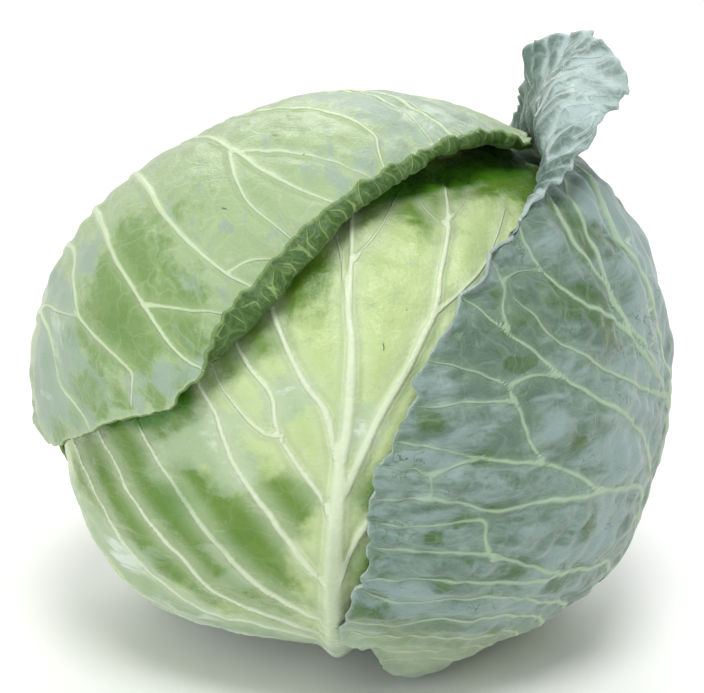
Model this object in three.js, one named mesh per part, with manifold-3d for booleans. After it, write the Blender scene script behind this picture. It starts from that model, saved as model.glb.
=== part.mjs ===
// A head of white cabbage standing on its cut stem: a dense heart, three wrapper leaves folded round it
// and the stub of the stem.
// Millimetres, +Z up. The front of the head looks along -Y. Azimuths are degrees from the front, positive
// toward +X.
import * as THREE from "three";
import { mergeVertices } from "three/addons/utils/BufferGeometryUtils.js";
import Module from "manifold-3d";

// Head
const HEAD_CENTRE_Z = 81; // height of the widest girth over the cut of the stem
const HEAD_OFFSET_X = 1.5;
const HALF_WIDTH = 86.3;
const HALF_DEPTH = 84;
const HALF_HEIGHT_TOP = 74.5;
const HALF_HEIGHT_BOTTOM = 77;
const FULLNESS_TOP = 2.1;
const FULLNESS_BOTTOM = 2.4;
// swellings and hollows of the ball: azimuth, elevation, height, width in degrees
const SWELLINGS = [
  [-107, 40, -4.5, 32],
  [-20, -68, -2.8, 24],
  [-70, -40, 3.2, 20],
  [100, -38, 2.5, 25],
  [0, -90, -6, 20],
  [52, 66, -5, 20],
];
const HEART_GAP = 0.8; // the heart lies this far under the ball the leaves are draped on
const HEART_FOLDS = 3; // leaf margins that show on the heart
const HEART_FOLD_STEP = 1.3;
const HEART_SLANT = 34; // degrees that a fold leans from the girth to the crown
const HEART_COLUMNS = 44;
const HEART_ROWS = 17;

// Stem
const STEM_RADIUS = 14.5;
const STEM_FOOT_RADIUS = 13.6;
const STEM_TOP_GAP = 0.4; // between the stem and the heart
const STEM_SIDES = 32;

// Leaves
const LEAF_THICKNESS = 1.1;
const EDGE_THICKNESS = 0.8;
const MM_PER_RADIAN = 86; // length on a leaf per radian round the head
const SECTORS = 53;
const BODY_RINGS = [0.2, 0.4, 0.58, 0.73, 0.85, 0.94, 1];
const HEM_RINGS = [0.13, 0.26, 0.4, 0.56, 0.78, 1];
const PLAIN_HEM_RINGS = [1];
// degrees from the tip over which the flutter of a margin dies out toward the base
const FLUTTER_FULL = 104;
const FLUTTER_ENDS = 128;
// where a leaf's spread toward its far side margin begins and ends on the flat leaf
const SPREAD_FROM = 30;
const SPREAD_TO = 85;
const RIB_SUNK = 0.6; // depth of a rib's foot in the blade
const RIB_SHOULDER = 0.72; // of the half width, where the rib is half as high
const MIDRIB_STRIDE = 14; // length of a segment of the midrib
const SIDE_RIB_STRIDE = 19;

const CENTRE = [HEAD_OFFSET_X, 0, HEAD_CENTRE_Z];
const RAD = Math.PI / 180;
const add = (a, b, k = 1) => [a[0] + b[0] * k, a[1] + b[1] * k, a[2] + b[2] * k];
const sub = (a, b) => add(a, b, -1);
const dot = (a, b) => a[0] * b[0] + a[1] * b[1] + a[2] * b[2];
const cross = (a, b) => [
  a[1] * b[2] - a[2] * b[1],
  a[2] * b[0] - a[0] * b[2],
  a[0] * b[1] - a[1] * b[0],
];
const unit = (a) => {
  const l = Math.hypot(...a);
  return [a[0] / l, a[1] / l, a[2] / l];
};
const clamp = (v, lo, hi) => Math.min(hi, Math.max(lo, v));
const smooth = (a, b, x) => {
  const t = clamp((x - a) / (b - a), 0, 1);
  return t * t * (3 - 2 * t);
};
const toward = (az, el) => [
  Math.sin(az * RAD) * Math.cos(el * RAD),
  -Math.cos(az * RAD) * Math.cos(el * RAD),
  Math.sin(el * RAD),
];
const swell = (d, list) =>
  list.reduce(
    (s, [az, el, h, w]) =>
      s + h * Math.exp(-(1 - dot(d, toward(az, el))) / (1 - Math.cos(w * RAD))),
    0,
  );

// Radius of the ball in direction d
function ballRadius(d) {
  const h = Math.hypot(d[0] / HALF_WIDTH, d[1] / HALF_DEPTH);
  const p = d[2] > 0 ? FULLNESS_TOP : FULLNESS_BOTTOM;
  const c = d[2] > 0 ? HALF_HEIGHT_TOP : HALF_HEIGHT_BOTTOM;
  return (
    (h ** p + (Math.abs(d[2]) / c) ** p) ** (-1 / p) + swell(d, SWELLINGS)
  );
}

function ballNormal(d) {
  const a = unit(cross(d, [0.123, 0.456, 0.881]));
  const b = cross(d, a);
  const at = (v) => {
    const u = unit(v);
    return add([0, 0, 0], u, ballRadius(u));
  };
  const p = at(d);
  const n = unit(
    cross(sub(at(add(d, a, 0.01)), p), sub(at(add(d, b, 0.01)), p)),
  );
  return dot(n, d) < 0 ? add([0, 0, 0], n, -1) : n;
}

// Smooth closed curve through [degrees, value] pairs
function around(pairs, degrees) {
  const p = [...pairs].sort((a, b) => a[0] - b[0]);
  const n = p.length;
  if (n === 1) return p[0][1];
  const at = (i) => [
    p[((i % n) + n) % n][0] + 360 * Math.floor(i / n),
    p[((i % n) + n) % n][1],
  ];
  const t = ((((degrees + 180) % 360) + 360) % 360) - 180;
  let i = -1;
  while (i + 1 < n && p[i + 1][0] <= t) i++;
  const [a0, r0] = at(i - 1);
  const [a1, r1] = at(i);
  const [a2, r2] = at(i + 1);
  const [a3, r3] = at(i + 2);
  const h = a2 - a1;
  const u = (t - a1) / h;
  const m1 = (h * (r2 - r0)) / (a2 - a0);
  const m2 = (h * (r3 - r1)) / (a3 - a1);
  return (
    (2 * u ** 3 - 3 * u ** 2 + 1) * r1 +
    (u ** 3 - 2 * u ** 2 + u) * m1 +
    (-2 * u ** 3 + 3 * u ** 2) * r2 +
    (u ** 3 - u ** 2) * m2
  );
}

// A wrapper leaf. Its flat shape is polar: degrees from the tip (180 is the base, positive to the right seen
// from outside) and millimetres. It is laid on the ball at a lift of its own; beyond the hem line it leaves
// the ball and bends outward by its fold angle.
class Leaf {
  constructor(o) {
    Object.assign(this, o);
    this.normal = toward(o.azimuth, o.elevation);
    this.up = unit(add([0, 0, 1], this.normal, -this.normal[2]));
    this.right = cross(this.up, this.normal);
  }
  direction(x, y) {
    const rho = Math.hypot(x, y) + 1e-9;
    const turn = rho / MM_PER_RADIAN;
    const s = Math.sin(turn) / rho;
    const ahead = add([0, 0, 0], this.normal, Math.cos(turn));
    return add(add(ahead, this.right, s * x), this.up, s * y);
  }
  // height over the ball: swells, a spread toward the far side margin and a tuck under the head
  lift(d, x) {
    return (
      this.rest +
      swell(d, this.swells) +
      this.spread * smooth(SPREAD_FROM, SPREAD_TO, x) -
      this.tuck * smooth(this.tuckFrom, this.tuckTo, -d[2])
    );
  }
  wrap(x, y) {
    const d = this.direction(x, y);
    const n = ballNormal(d);
    const degrees = Math.atan2(x, y) / RAD;
    const edge = around(this.outline, degrees) - around(this.hem, degrees);
    const flutter =
      this.flutter *
      Math.sin(degrees * this.waves * RAD + 1) *
      smooth(0.72, 1, Math.hypot(x, y) / edge) *
      smooth(FLUTTER_ENDS, FLUTTER_FULL, Math.abs(degrees));
    return [add(add(CENTRE, d, ballRadius(d)), n, this.lift(d, x) + flutter), n];
  }
  // point and outward normal at flat coordinates x, y and a height over the inner face
  place(x, y, height) {
    const rho = Math.hypot(x, y) + 1e-9;
    const angle = Math.atan2(x, y);
    const degrees = angle / RAD;
    const fold = around(this.fold, degrees) * RAD;
    const bend = around(this.bend, degrees);
    const edge = around(this.outline, degrees) - around(this.hem, degrees);
    const r = Math.min(rho, edge);
    const past = Math.max(rho - edge, 0);
    const onBall = (radius, turn) => this.wrap(radius * Math.sin(turn), radius * Math.cos(turn));
    const [p, n] = onBall(r, angle);
    const out = unit(sub(p, onBall(r - 0.5, angle)[0]));
    const side = unit(sub(onBall(r, angle + 0.004)[0], p));
    let face = unit(cross(side, out));
    if (dot(face, n) < 0) face = add([0, 0, 0], face, -1);
    let away = unit(cross(face, side));
    if (dot(away, out) < 0) away = add([0, 0, 0], away, -1);
    const curved = Math.min(past, fold * bend);
    const turn = curved / bend;
    const straight = past - curved;
    const along = bend * Math.sin(turn) + straight * Math.cos(turn);
    const rise = bend * (1 - Math.cos(turn)) + straight * Math.sin(turn);
    const skin = add(add([0, 0, 0], face, Math.cos(turn)), away, -Math.sin(turn));
    return [add(add(add(p, away, along), face, rise), skin, height), skin];
  }
}

// A rib: half widths and heights from its foot to its tip, and its path on the flat leaf
const rib = (width, height, path) => ({ width, height, path });

const frontLeaf = new Leaf({
  name: "front_leaf",
  azimuth: 0,
  elevation: 0,
  outline: [
    [-177, 117], [-168, 123], [-155, 128], [-135, 135], [-112, 146], [-90, 150], [-65, 140], [-40, 132],
    [-15, 131], [10, 137], [25, 142], [40, 140], [60, 132], [85, 122], [102, 120], [118, 116], [130, 108],
    [142, 99], [153, 95], [164, 98], [172, 106],
  ],
  hem: [[0, 2]],
  fold: [[0, 0]],
  bend: [[0, 10]],
  flat: true, // no hem is turned out
  flutter: 0,
  waves: 5,
  rest: 0.4,
  swells: [[-60, -38, 1.1, 26]],
  spread: 0,
  tuck: 0,
  tuckFrom: 0.86,
  tuckTo: 0.96,
  ribs: [
    rib(
      [5.2, 4.6, 3, 2, 1.4, 0.9],
      [3.2, 4.6, 2.2, 1.3, 0.9, 0.5],
      [[-6, -114], [-5.5, -72], [-6, -29], [-3, 9], [-1, 40], [-1, 76]],
    ),
    rib(
      [2.4, 1.7, 1],
      [1.6, 1.2, 0.5],
      [[-6, -74], [-25, -60], [-48, -57], [-67, -45], [-88, -24], [-102, -4]],
    ),
    rib(
      [2.3, 1.6, 1],
      [1.6, 1.1, 0.5],
      [[-7, -62], [-24, -53], [-43, -43], [-59, -28], [-73, -12], [-86, 4]],
    ),
    rib(
      [2.2, 1.6, 1],
      [1.5, 1.1, 0.5],
      [[-7, -48], [-20, -42], [-34, -32], [-45, -19], [-57, -4], [-70, 12]],
    ),
    rib([2, 1.5, 0.9], [1.4, 1, 0.5], [[-6, -24], [-18, -20], [-28, -7], [-36, 7], [-46, 25]]),
    rib([1.8, 1.3, 0.9], [1.2, 0.9, 0.5], [[-4, 5], [-9, 18], [-19, 33], [-30, 50]]),
    rib([2.4, 1.9, 1.1], [1.5, 1.2, 0.5], [[-2, -4], [7, 15], [19, 36], [26, 55], [32, 76]]),
    rib([2.2, 1.6, 1], [1.4, 1, 0.5], [[-4, -36], [6, -18], [24, -4], [46, 14], [66, 38]]),
    rib([2.2, 1.6, 1], [1.4, 1, 0.5], [[-4, -64], [18, -50], [46, -36], [78, -16], [98, 8]]),
  ],
});

const capLeaf = new Leaf({
  name: "cap_leaf",
  azimuth: -125,
  elevation: 28,
  outline: [
    [-172, 157], [-158, 149], [-140, 132], [-120, 124], [-95, 120], [-70, 120], [-45, 122], [-30, 131],
    [-20, 142], [-14, 147], [-8, 147.5], [-3, 147], [4, 146.5], [13, 145], [26, 144.5], [36, 145],
    [47, 147], [57, 148.5], [66, 146], [72, 138], [77, 134], [82, 131], [90, 121], [99, 112], [106, 106],
    [112, 99], [118, 88], [126, 78], [136, 75], [145, 79], [153, 90], [160, 116], [168, 150], [180, 157],
  ],
  hem: [
    [-120, 3], [-60, 3], [-20, 4], [-14, 6], [-8, 8], [-3, 8], [4, 8], [13, 8.5], [26, 9.5], [36, 10.5],
    [47, 12], [57, 13], [66, 12], [72, 7], [77, 6], [82, 5], [90, 5], [99, 5], [114, 3], [180, 3],
  ],
  fold: [
    [-120, 0], [-60, 0], [-20, 30], [-14, 90], [-8, 150], [-1, 160], [13, 165], [36, 165], [57, 160],
    [66, 130], [72, 60], [77, 25], [82, 20], [90, 30], [99, 25], [114, 10], [180, 0],
  ],
  bend: [
    [-60, 12], [-20, 5], [-8, 2.7], [-1, 2.5], [13, 2.4], [36, 2.4], [57, 2.4], [66, 2.6], [72, 3],
    [77, 5], [82, 8], [90, 12], [114, 12], [180, 12],
  ],
  flutter: 0.5,
  waves: 10,
  rest: 4.2,
  swells: [
    [-88, 4, 4.6, 38],
    [-75, 40, 3, 24],
    [-60, 16, 1, 25],
    [2, 76, 5.2, 32],
    [52, 66, 4.2, 20],
  ],
  spread: 0,
  tuck: 3.6,
  tuckFrom: 0.86,
  tuckTo: 0.96,
  ribs: [
    rib(
      [5.2, 4.8, 3.6, 2.8, 1.9, 1.1],
      [2.2, 3.4, 2.6, 1.9, 1.3, 0.6],
      [[-2, -154.5], [-6, -105], [-8, -50], [-8, 0], [-6, 50], [2, 96]],
    ),
    rib([2.2, 1.7, 1], [1.3, 1.1, 0.5], [[-6, 12], [9, 40], [24, 67], [28, 95], [40, 116]]),
    rib([2.3, 1.8, 1], [1.4, 1.1, 0.5], [[-7, -12], [8, 18], [28, 45], [52, 70], [74, 101]]),
    rib([2.3, 1.8, 1], [1.4, 1.1, 0.5], [[-8, -36], [14, -6], [38, 22], [62, 42], [92, 58], [108, 70]]),
    rib([2.3, 1.8, 1], [1.4, 1.1, 0.5], [[-8, -58], [16, -26], [44, 4], [70, 26], [101, 34], [120, 38]]),
    rib([2.3, 1.8, 1], [1.4, 1.1, 0.5], [[-7, -80], [18, -50], [44, -24], [66, -8], [88, 4], [112, 8]]),
    rib([2.2, 1.7, 1], [1.3, 1, 0.5], [[-10, -20], [-30, 10], [-50, 36], [-60, 66]]),
    rib([2.2, 1.7, 1], [1.3, 1, 0.5], [[-10, -52], [-34, -20], [-62, 8], [-82, 40]]),
    rib([2.2, 1.7, 1], [1.3, 1, 0.5], [[-9, -84], [-34, -54], [-64, -28], [-92, 0]]),
  ],
});

const rightLeaf = new Leaf({
  name: "right_leaf",
  azimuth: 85,
  elevation: -5,
  outline: [
    [-168, 111], [-158, 110], [-147, 111], [-139, 117], [-135, 118.5], [-132, 119.5], [-129, 124.5],
    [-125, 129], [-120, 128], [-114, 126.5], [-108, 123.5], [-100, 123], [-90, 123], [-83, 119], [-75, 115],
    [-72, 116], [-68, 111.5], [-64, 110.5], [-60, 107.5], [-56, 105], [-48, 101.5], [-42, 97.5], [-36, 93],
    [-28, 94], [-20, 101], [-14, 111.5], [-8, 122.5], [-3, 125.5], [4, 122.5], [14, 119], [24, 116],
    [34, 106.5], [42, 104], [50, 104], [75, 116], [95, 128], [120, 134], [140, 128], [158, 120], [172, 112],
    [180, 109.5],
  ],
  hem: [
    [-134, 3], [-100, 3], [-75, 3], [-60, 4], [-54, 5], [-48, 5], [-42, 4.5], [-36, 4], [-28, 10.5],
    [-20, 22], [-14, 34], [-8, 44.5], [-3, 46.5], [4, 42.5], [14, 39], [24, 34], [34, 20.5], [42, 12],
    [50, 5], [90, 3], [180, 3],
  ],
  fold: [
    [-134, 8], [-100, 5], [-75, 5], [-60, 25], [-54, 40], [-48, 60], [-42, 115], [-36, 142], [-28, 146],
    [-20, 131], [-14, 141], [-8, 147], [-3, 141], [4, 109], [14, 78], [24, 60], [34, 60], [42, 60],
    [50, 20], [60, 8], [90, 5], [180, 0],
  ],
  bend: [
    [-134, 12], [-75, 8], [-60, 6], [-54, 4], [-48, 3], [-42, 2], [-36, 2], [-28, 3.5], [-20, 7],
    [-14, 10.5], [-8, 13], [-3, 13], [4, 12.5], [14, 11.5], [24, 14.5], [34, 11.5], [42, 8], [50, 10],
    [90, 12], [180, 12],
  ],
  flutter: 0.6,
  waves: 9,
  rest: 4.8,
  swells: [
    [80, 45, 4, 22],
    [80, -48, 2, 20],
    [78, -18, -1.5, 10],
    [18, -56, 4, 13],
    [52, 66, 5, 20],
  ],
  spread: 2.6,
  tuck: 4.6,
  tuckFrom: 0.81,
  tuckTo: 0.945,
  ribs: [
    rib(
      [5.2, 4.8, 3.6, 2.8, 2, 1.2],
      [1.8, 2.6, 2.5, 1.9, 1.3, 0.6],
      [[-2, -108], [-4, -60], [-8, -20], [-12, 12], [-16, 40], [-6, 70]],
    ),
    rib([2.2, 1.7, 1], [1.4, 1.1, 0.5], [[-8, -18], [-20, 12], [-40, 34], [-54, 48], [-58, 64]]),
    rib([2.3, 1.8, 1], [1.4, 1.1, 0.5], [[-7, -38], [-26, -6], [-50, 16], [-68, 28], [-82, 50]]),
    rib([2.3, 1.8, 1], [1.4, 1.1, 0.5], [[-6, -52], [-27, -20], [-54, -9], [-76, 3], [-104, 11]]),
    rib([2.3, 1.8, 1], [1.4, 1.1, 0.5], [[-5, -64], [-30, -36], [-58, -16], [-88, -10], [-114, -7]]),
    rib([2.2, 1.7, 1], [1.3, 1, 0.5], [[-4, -76], [-30, -50], [-60, -34], [-86, -27], [-112, -27]]),
    rib([2.2, 1.7, 1], [1.3, 1, 0.5], [[-4, -88], [-28, -66], [-56, -52], [-82, -46], [-106, -48]]),
    rib([2.2, 1.7, 1], [1.3, 1, 0.5], [[-10, -14], [8, 12], [28, 34], [40, 58]]),
    rib([2.2, 1.7, 1], [1.3, 1, 0.5], [[-7, -42], [20, -16], [48, 10], [68, 40]]),
    rib([2.2, 1.7, 1], [1.3, 1, 0.5], [[-5, -72], [24, -48], [58, -22], [84, 8]]),
  ],
});

const wasm = await Module();
wasm.setup();

function solid(points, triangles) {
  const g = new THREE.BufferGeometry();
  g.setAttribute("position", new THREE.Float32BufferAttribute(points.flat(), 3));
  g.setIndex(triangles.flat());
  const m = mergeVertices(g, 1e-4);
  return new wasm.Manifold(
    new wasm.Mesh({
      numProp: 3,
      vertProperties: m.attributes.position.array,
      triVerts: new Uint32Array(m.index.array),
    }),
  );
}

function leafBlade(leaf) {
  const points = [];
  const triangles = [];
  const hemRings = leaf.flat ? PLAIN_HEM_RINGS : HEM_RINGS;
  const rings = BODY_RINGS.length + hemRings.length;
  const faceSize = 1 + rings * SECTORS;
  const ringRadius = (k, edge, hem) =>
    k < BODY_RINGS.length ? edge * BODY_RINGS[k] : edge + hem * hemRings[k - BODY_RINGS.length];
  for (const outer of [1, 0]) {
    points.push(leaf.place(0, 0.001, outer * LEAF_THICKNESS)[0]);
    for (let k = 0; k < rings; k++)
      for (let s = 0; s < SECTORS; s++) {
        const degrees = (360 * s) / SECTORS - 180;
        const angle = degrees * RAD;
        const hem = around(leaf.hem, degrees);
        const rho = ringRadius(k, around(leaf.outline, degrees) - hem, hem);
        const thickness = k === rings - 1 ? EDGE_THICKNESS : LEAF_THICKNESS;
        points.push(leaf.place(rho * Math.sin(angle), rho * Math.cos(angle), outer * thickness)[0]);
      }
  }
  const at = (face, k, s) => face * faceSize + 1 + k * SECTORS + (s % SECTORS);
  for (let s = 0; s < SECTORS; s++) {
    for (const face of [0, 1]) {
      const tri = (a, b, c) => triangles.push(face ? [a, b, c] : [a, c, b]);
      tri(face * faceSize, at(face, 0, s), at(face, 0, s + 1));
      for (let k = 0; k + 1 < rings; k++) {
        tri(at(face, k, s), at(face, k + 1, s), at(face, k + 1, s + 1));
        tri(at(face, k, s), at(face, k + 1, s + 1), at(face, k, s + 1));
      }
    }
    const rim = rings - 1;
    triangles.push(
      [at(0, rim, s), at(0, rim, s + 1), at(1, rim, s + 1)],
      [at(0, rim, s), at(1, rim, s + 1), at(1, rim, s)],
    );
  }
  return solid(points, triangles);
}

// value of an evenly spaced list at t from 0 to 1
function along(list, t) {
  const u = t * (list.length - 1);
  const i = Math.min(Math.floor(u), list.length - 2);
  return list[i] + (list[i + 1] - list[i]) * (u - i);
}

// A rib stands on the outer face of the leaf, its foot sunk in the blade
function leafRib(leaf, { width, height, path }, stride) {
  const curve = new THREE.CatmullRomCurve3(
    path.map(([x, y]) => new THREE.Vector3(x, y, 0)),
    false,
    "centripetal",
  );
  const steps = Math.max(4, Math.round(curve.getLength() / stride));
  const points = [];
  const triangles = [];
  const sunk = LEAF_THICKNESS - RIB_SUNK;
  for (let i = 0; i <= steps; i++) {
    const t = i / steps;
    const c = curve.getPointAt(t);
    const g = curve.getTangentAt(t);
    const w = along(width, t);
    const crest = LEAF_THICKNESS + along(height, t);
    const shoulder = (crest + LEAF_THICKNESS) / 2;
    for (const [u, z] of [
      [-1, sunk],
      [-RIB_SHOULDER, shoulder],
      [0, crest],
      [RIB_SHOULDER, shoulder],
      [1, sunk],
    ])
      points.push(leaf.place(c.x + g.y * w * u, c.y - g.x * w * u, z)[0]);
  }
  for (let i = 0; i < steps; i++)
    for (let j = 0; j < 5; j++) {
      const a = i * 5 + j;
      const b = i * 5 + ((j + 1) % 5);
      triangles.push([a, a + 5, b + 5], [a, b + 5, b]);
    }
  const last = steps * 5;
  for (const [a, b] of [[1, 2], [2, 3], [3, 4]])
    triangles.push([0, a, b], [last, last + b, last + a]);
  const made = solid(points, triangles);
  return made.volume() < 0 ? solid(points, triangles.map(([a, b, c]) => [a, c, b])) : made;
}

function leafSolid(leaf) {
  const [midrib, ...sideRibs] = leaf.ribs;
  let made = leafBlade(leaf).add(leafRib(leaf, midrib, MIDRIB_STRIDE));
  for (const r of sideRibs) made = made.add(leafRib(leaf, r, SIDE_RIB_STRIDE));
  return made;
}

// A closed skin over rows of equally many points, between a first and a last point
function lathe(first, rows, last) {
  const columns = rows[0].length;
  const points = [first, ...rows.flat(), last];
  const triangles = [];
  const at = (row, i) => 1 + row * columns + (i % columns);
  for (let i = 0; i < columns; i++) {
    triangles.push([0, at(0, i + 1), at(0, i)]);
    for (let row = 0; row + 1 < rows.length; row++)
      triangles.push(
        [at(row, i), at(row, i + 1), at(row + 1, i + 1)],
        [at(row, i), at(row + 1, i + 1), at(row + 1, i)],
      );
    triangles.push([points.length - 1, at(rows.length - 1, i), at(rows.length - 1, i + 1)]);
  }
  return solid(points, triangles);
}

const range = (n) => Array.from({ length: n }, (_, i) => i);

// The heart: the ball under the leaves, with the steps where its own folded leaves end
function heartSolid() {
  const radius = (d) => {
    const azimuth = Math.atan2(d[0], -d[1]) / RAD;
    const turns = ((azimuth + 70 + HEART_SLANT * d[2]) * HEART_FOLDS) / 360;
    const turn = turns - Math.floor(turns);
    const step = Math.min(turn / 0.93, (1 - turn) / 0.07);
    const drop = HEART_FOLD_STEP * (1 - step) * smooth(0.99, 0.8, Math.abs(d[2]));
    return ballRadius(d) - HEART_GAP - drop;
  };
  const at = (d) => add(CENTRE, d, radius(d));
  const rows = range(HEART_ROWS - 1).map((j) =>
    range(HEART_COLUMNS).map((i) =>
      at(toward((360 * i) / HEART_COLUMNS, -90 + (180 * (j + 1)) / HEART_ROWS)),
    ),
  );
  return lathe(at([0, 0, -1]), rows, at([0, 0, 1]));
}

// The stub of the stem, cut flat at z = 0
function stemSolid(top) {
  const profile = [
    [STEM_FOOT_RADIUS, 0],
    [STEM_FOOT_RADIUS + 0.5, 0.7],
    [STEM_RADIUS, 3.2],
    [STEM_RADIUS - 0.4, top - 3],
    [STEM_RADIUS - 1.6, top - 2.1],
    [STEM_RADIUS / 2, top - 0.8],
  ];
  const rows = profile.map(([r, z]) =>
    range(STEM_SIDES).map((i) => {
      const a = (2 * Math.PI * i) / STEM_SIDES;
      const fluted = r * (1 + 0.03 * Math.sin(3 * a + 0.6) + 0.018 * Math.sin(5 * a));
      return [fluted * Math.cos(a), fluted * Math.sin(a), z];
    }),
  );
  return lathe([0, 0, 0], rows, [0, 0, top]);
}

const cabbage = new THREE.Group();
cabbage.name = "cabbage_head";

function piece(name, s, colour, roughness) {
  const m = s.getMesh();
  const g = new THREE.BufferGeometry();
  g.setAttribute(
    "position",
    new THREE.BufferAttribute(new Float32Array(m.vertProperties), 3),
  );
  g.setIndex(new THREE.BufferAttribute(new Uint32Array(m.triVerts), 1));
  const shown = g.toNonIndexed();
  shown.computeVertexNormals();
  const mesh = new THREE.Mesh(
    shown,
    new THREE.MeshStandardMaterial({ color: colour, roughness, metalness: 0 }),
  );
  mesh.name = name;
  cabbage.add(mesh);
}

const heartFloor = HEAD_CENTRE_Z - ballRadius([0, 0, -1]) + HEART_GAP;
piece("stem", stemSolid(heartFloor - STEM_TOP_GAP), 0xd9dfb8, 0.7);
piece("heart", heartSolid(), 0xdfe8b4, 0.5);
piece("front_leaf", leafSolid(frontLeaf), 0xc5dba0, 0.42);
piece("cap_leaf", leafSolid(capLeaf), 0xa9c58f, 0.45);
piece("right_leaf", leafSolid(rightLeaf), 0x86a19c, 0.5);

export default cabbage;
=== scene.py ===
"""A head of white cabbage on its cut stem: three wrapper leaves with their ribs, veins and turned-out
margins, drawn round a heart of folded leaves, and the stub of the stem.

Shapes are worked out in millimetres, in the frame of the CAD model, and meshes are made in metres.
Azimuths are degrees from the front of the head (-Y), positive toward +X."""

import bpy
import numpy as np
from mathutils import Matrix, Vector


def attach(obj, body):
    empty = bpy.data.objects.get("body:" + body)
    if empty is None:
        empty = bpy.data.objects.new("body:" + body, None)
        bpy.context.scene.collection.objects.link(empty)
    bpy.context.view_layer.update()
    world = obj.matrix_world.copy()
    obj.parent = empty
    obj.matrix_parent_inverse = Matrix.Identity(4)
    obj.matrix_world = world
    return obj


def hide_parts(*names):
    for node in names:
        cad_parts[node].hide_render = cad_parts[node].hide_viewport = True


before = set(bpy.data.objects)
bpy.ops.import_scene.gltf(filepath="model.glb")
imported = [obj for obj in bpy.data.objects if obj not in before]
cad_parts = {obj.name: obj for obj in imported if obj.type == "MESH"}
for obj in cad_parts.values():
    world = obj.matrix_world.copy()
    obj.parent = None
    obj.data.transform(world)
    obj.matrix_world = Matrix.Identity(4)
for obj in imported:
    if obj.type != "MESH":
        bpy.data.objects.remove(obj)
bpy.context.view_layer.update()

MM = 0.001

# -------- the head, as in the CAD model
CENTRE = np.array([1.5, 0.0, 81.0])
HALF_WIDTH, HALF_DEPTH = 86.3, 84.0
HALF_HEIGHT_TOP, HALF_HEIGHT_BOTTOM = 74.5, 77.0
FULLNESS_TOP, FULLNESS_BOTTOM = 2.1, 2.4
# swellings and hollows of the ball: azimuth, elevation, height, width in degrees
SWELLINGS = [(-107, 40, -4.5, 32), (-20, -68, -2.8, 24), (-70, -40, 3.2, 20), (100, -38, 2.5, 25),
             (0, -90, -6.0, 20), (52, 66, -5.0, 20)]
OBLIQUE = [0.123, 0.456, 0.881]  # a direction off every axis, to take others square to
MM_PER_RADIAN = 86.0  # length on a leaf per radian round the head

LEAF_THICKNESS = 1.0
LEAF_CELLS = 214  # cells along each side of a leaf's mesh
FLAT_SIZE = 400.0  # the leaf's UV square, so that UV times this is millimetres on the flat leaf
SAMPLE_STEP = 0.9  # spacing of the points that stand for a vein
VEIN_REACH = 26.0  # further off than this, a vein has no say
POINT_BATCH = 4000  # points measured against a vein at a time, to spare memory
LEAST_RIB = 1.4  # narrowest half width that the mesh can carry
PLEATS = 84  # pleats that a turned-out hem would have all round the leaf
HEART_GAP, HEART_SINK = 0.8, 0.6  # from the ball's skin to the heart, and room for what stands up from it
# the heart's own leaves: how many, how far each steps up, and over what share of its turn
HEART_FOLDS, HEART_FOLD_STEP, HEART_FOLD_RISE = 3, 1.3, 0.03
# degrees toward -X to where the first begins at mid height, and how much further it slants by the top
HEART_FOLD_START, HEART_FOLD_SLANT = 70, 34
HEART_FOLD_RIBS = (0, 14, 28, 42)  # degrees from a leaf's middle rib, before the fan spreads them
HEART_RADIUS = 80  # about: it turns directions into millimetres, which waves are measured in
STEM_TOP_GAP = 0.4
CUT_RADIUS = 12.5


def unit(v):
    return v / np.linalg.norm(v, axis=-1, keepdims=True)


def facing(v, way):
    """Vectors v, turned about where they point away from way."""
    return v * np.sign(np.sum(v * way, -1))[..., None]


def smooth(a, b, x):
    """Soft step from 0 at a to 1 at b."""
    t = np.clip((x - a) / (b - a), 0, 1)
    return t * t * (3 - 2 * t)


def toward(azimuth, elevation):
    """Unit vector to a place on the head."""
    a, e = np.radians(azimuth), np.radians(elevation)
    return np.array([np.sin(a) * np.cos(e), -np.cos(a) * np.cos(e), np.sin(e)])


def swell(d, places):
    """Sum of round swellings over directions d."""
    total = np.zeros(d.shape[:-1])
    for azimuth, elevation, height, width in places:
        total += height * np.exp(-(1 - d @ toward(azimuth, elevation)) / (1 - np.cos(np.radians(width))))
    return total


def ball_radius(d):
    """Distance from the head's centre to the ball's skin in directions d."""
    h = np.hypot(d[..., 0] / HALF_WIDTH, d[..., 1] / HALF_DEPTH)
    up = d[..., 2] > 0
    p = np.where(up, FULLNESS_TOP, FULLNESS_BOTTOM)
    c = np.where(up, HALF_HEIGHT_TOP, HALF_HEIGHT_BOTTOM)
    return (h ** p + (np.abs(d[..., 2]) / c) ** p) ** (-1 / p) + swell(d, SWELLINGS)


def ball_normal(d):
    a = unit(np.cross(d, OBLIQUE))
    b = np.cross(d, a)
    p = d * ball_radius(d)[..., None]
    beside = [unit(d + v * 0.01) for v in (a, b)]
    u, v = [q * ball_radius(q)[..., None] - p for q in beside]
    return facing(unit(np.cross(u, v)), d)


def polar(rho, angle):
    """Flat x and y at a distance from the middle of the leaf and an angle from its tip."""
    return rho * np.sin(angle), rho * np.cos(angle)


def hermite(u, start, start_slope, end, end_slope):
    """Value at share u of the cubic curve between two values, with the slopes that it has there."""
    return ((2 * u ** 3 - 3 * u ** 2 + 1) * start + (u ** 3 - 2 * u ** 2 + u) * start_slope
            + (-2 * u ** 3 + 3 * u ** 2) * end + (u ** 3 - u ** 2) * end_slope)


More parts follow.
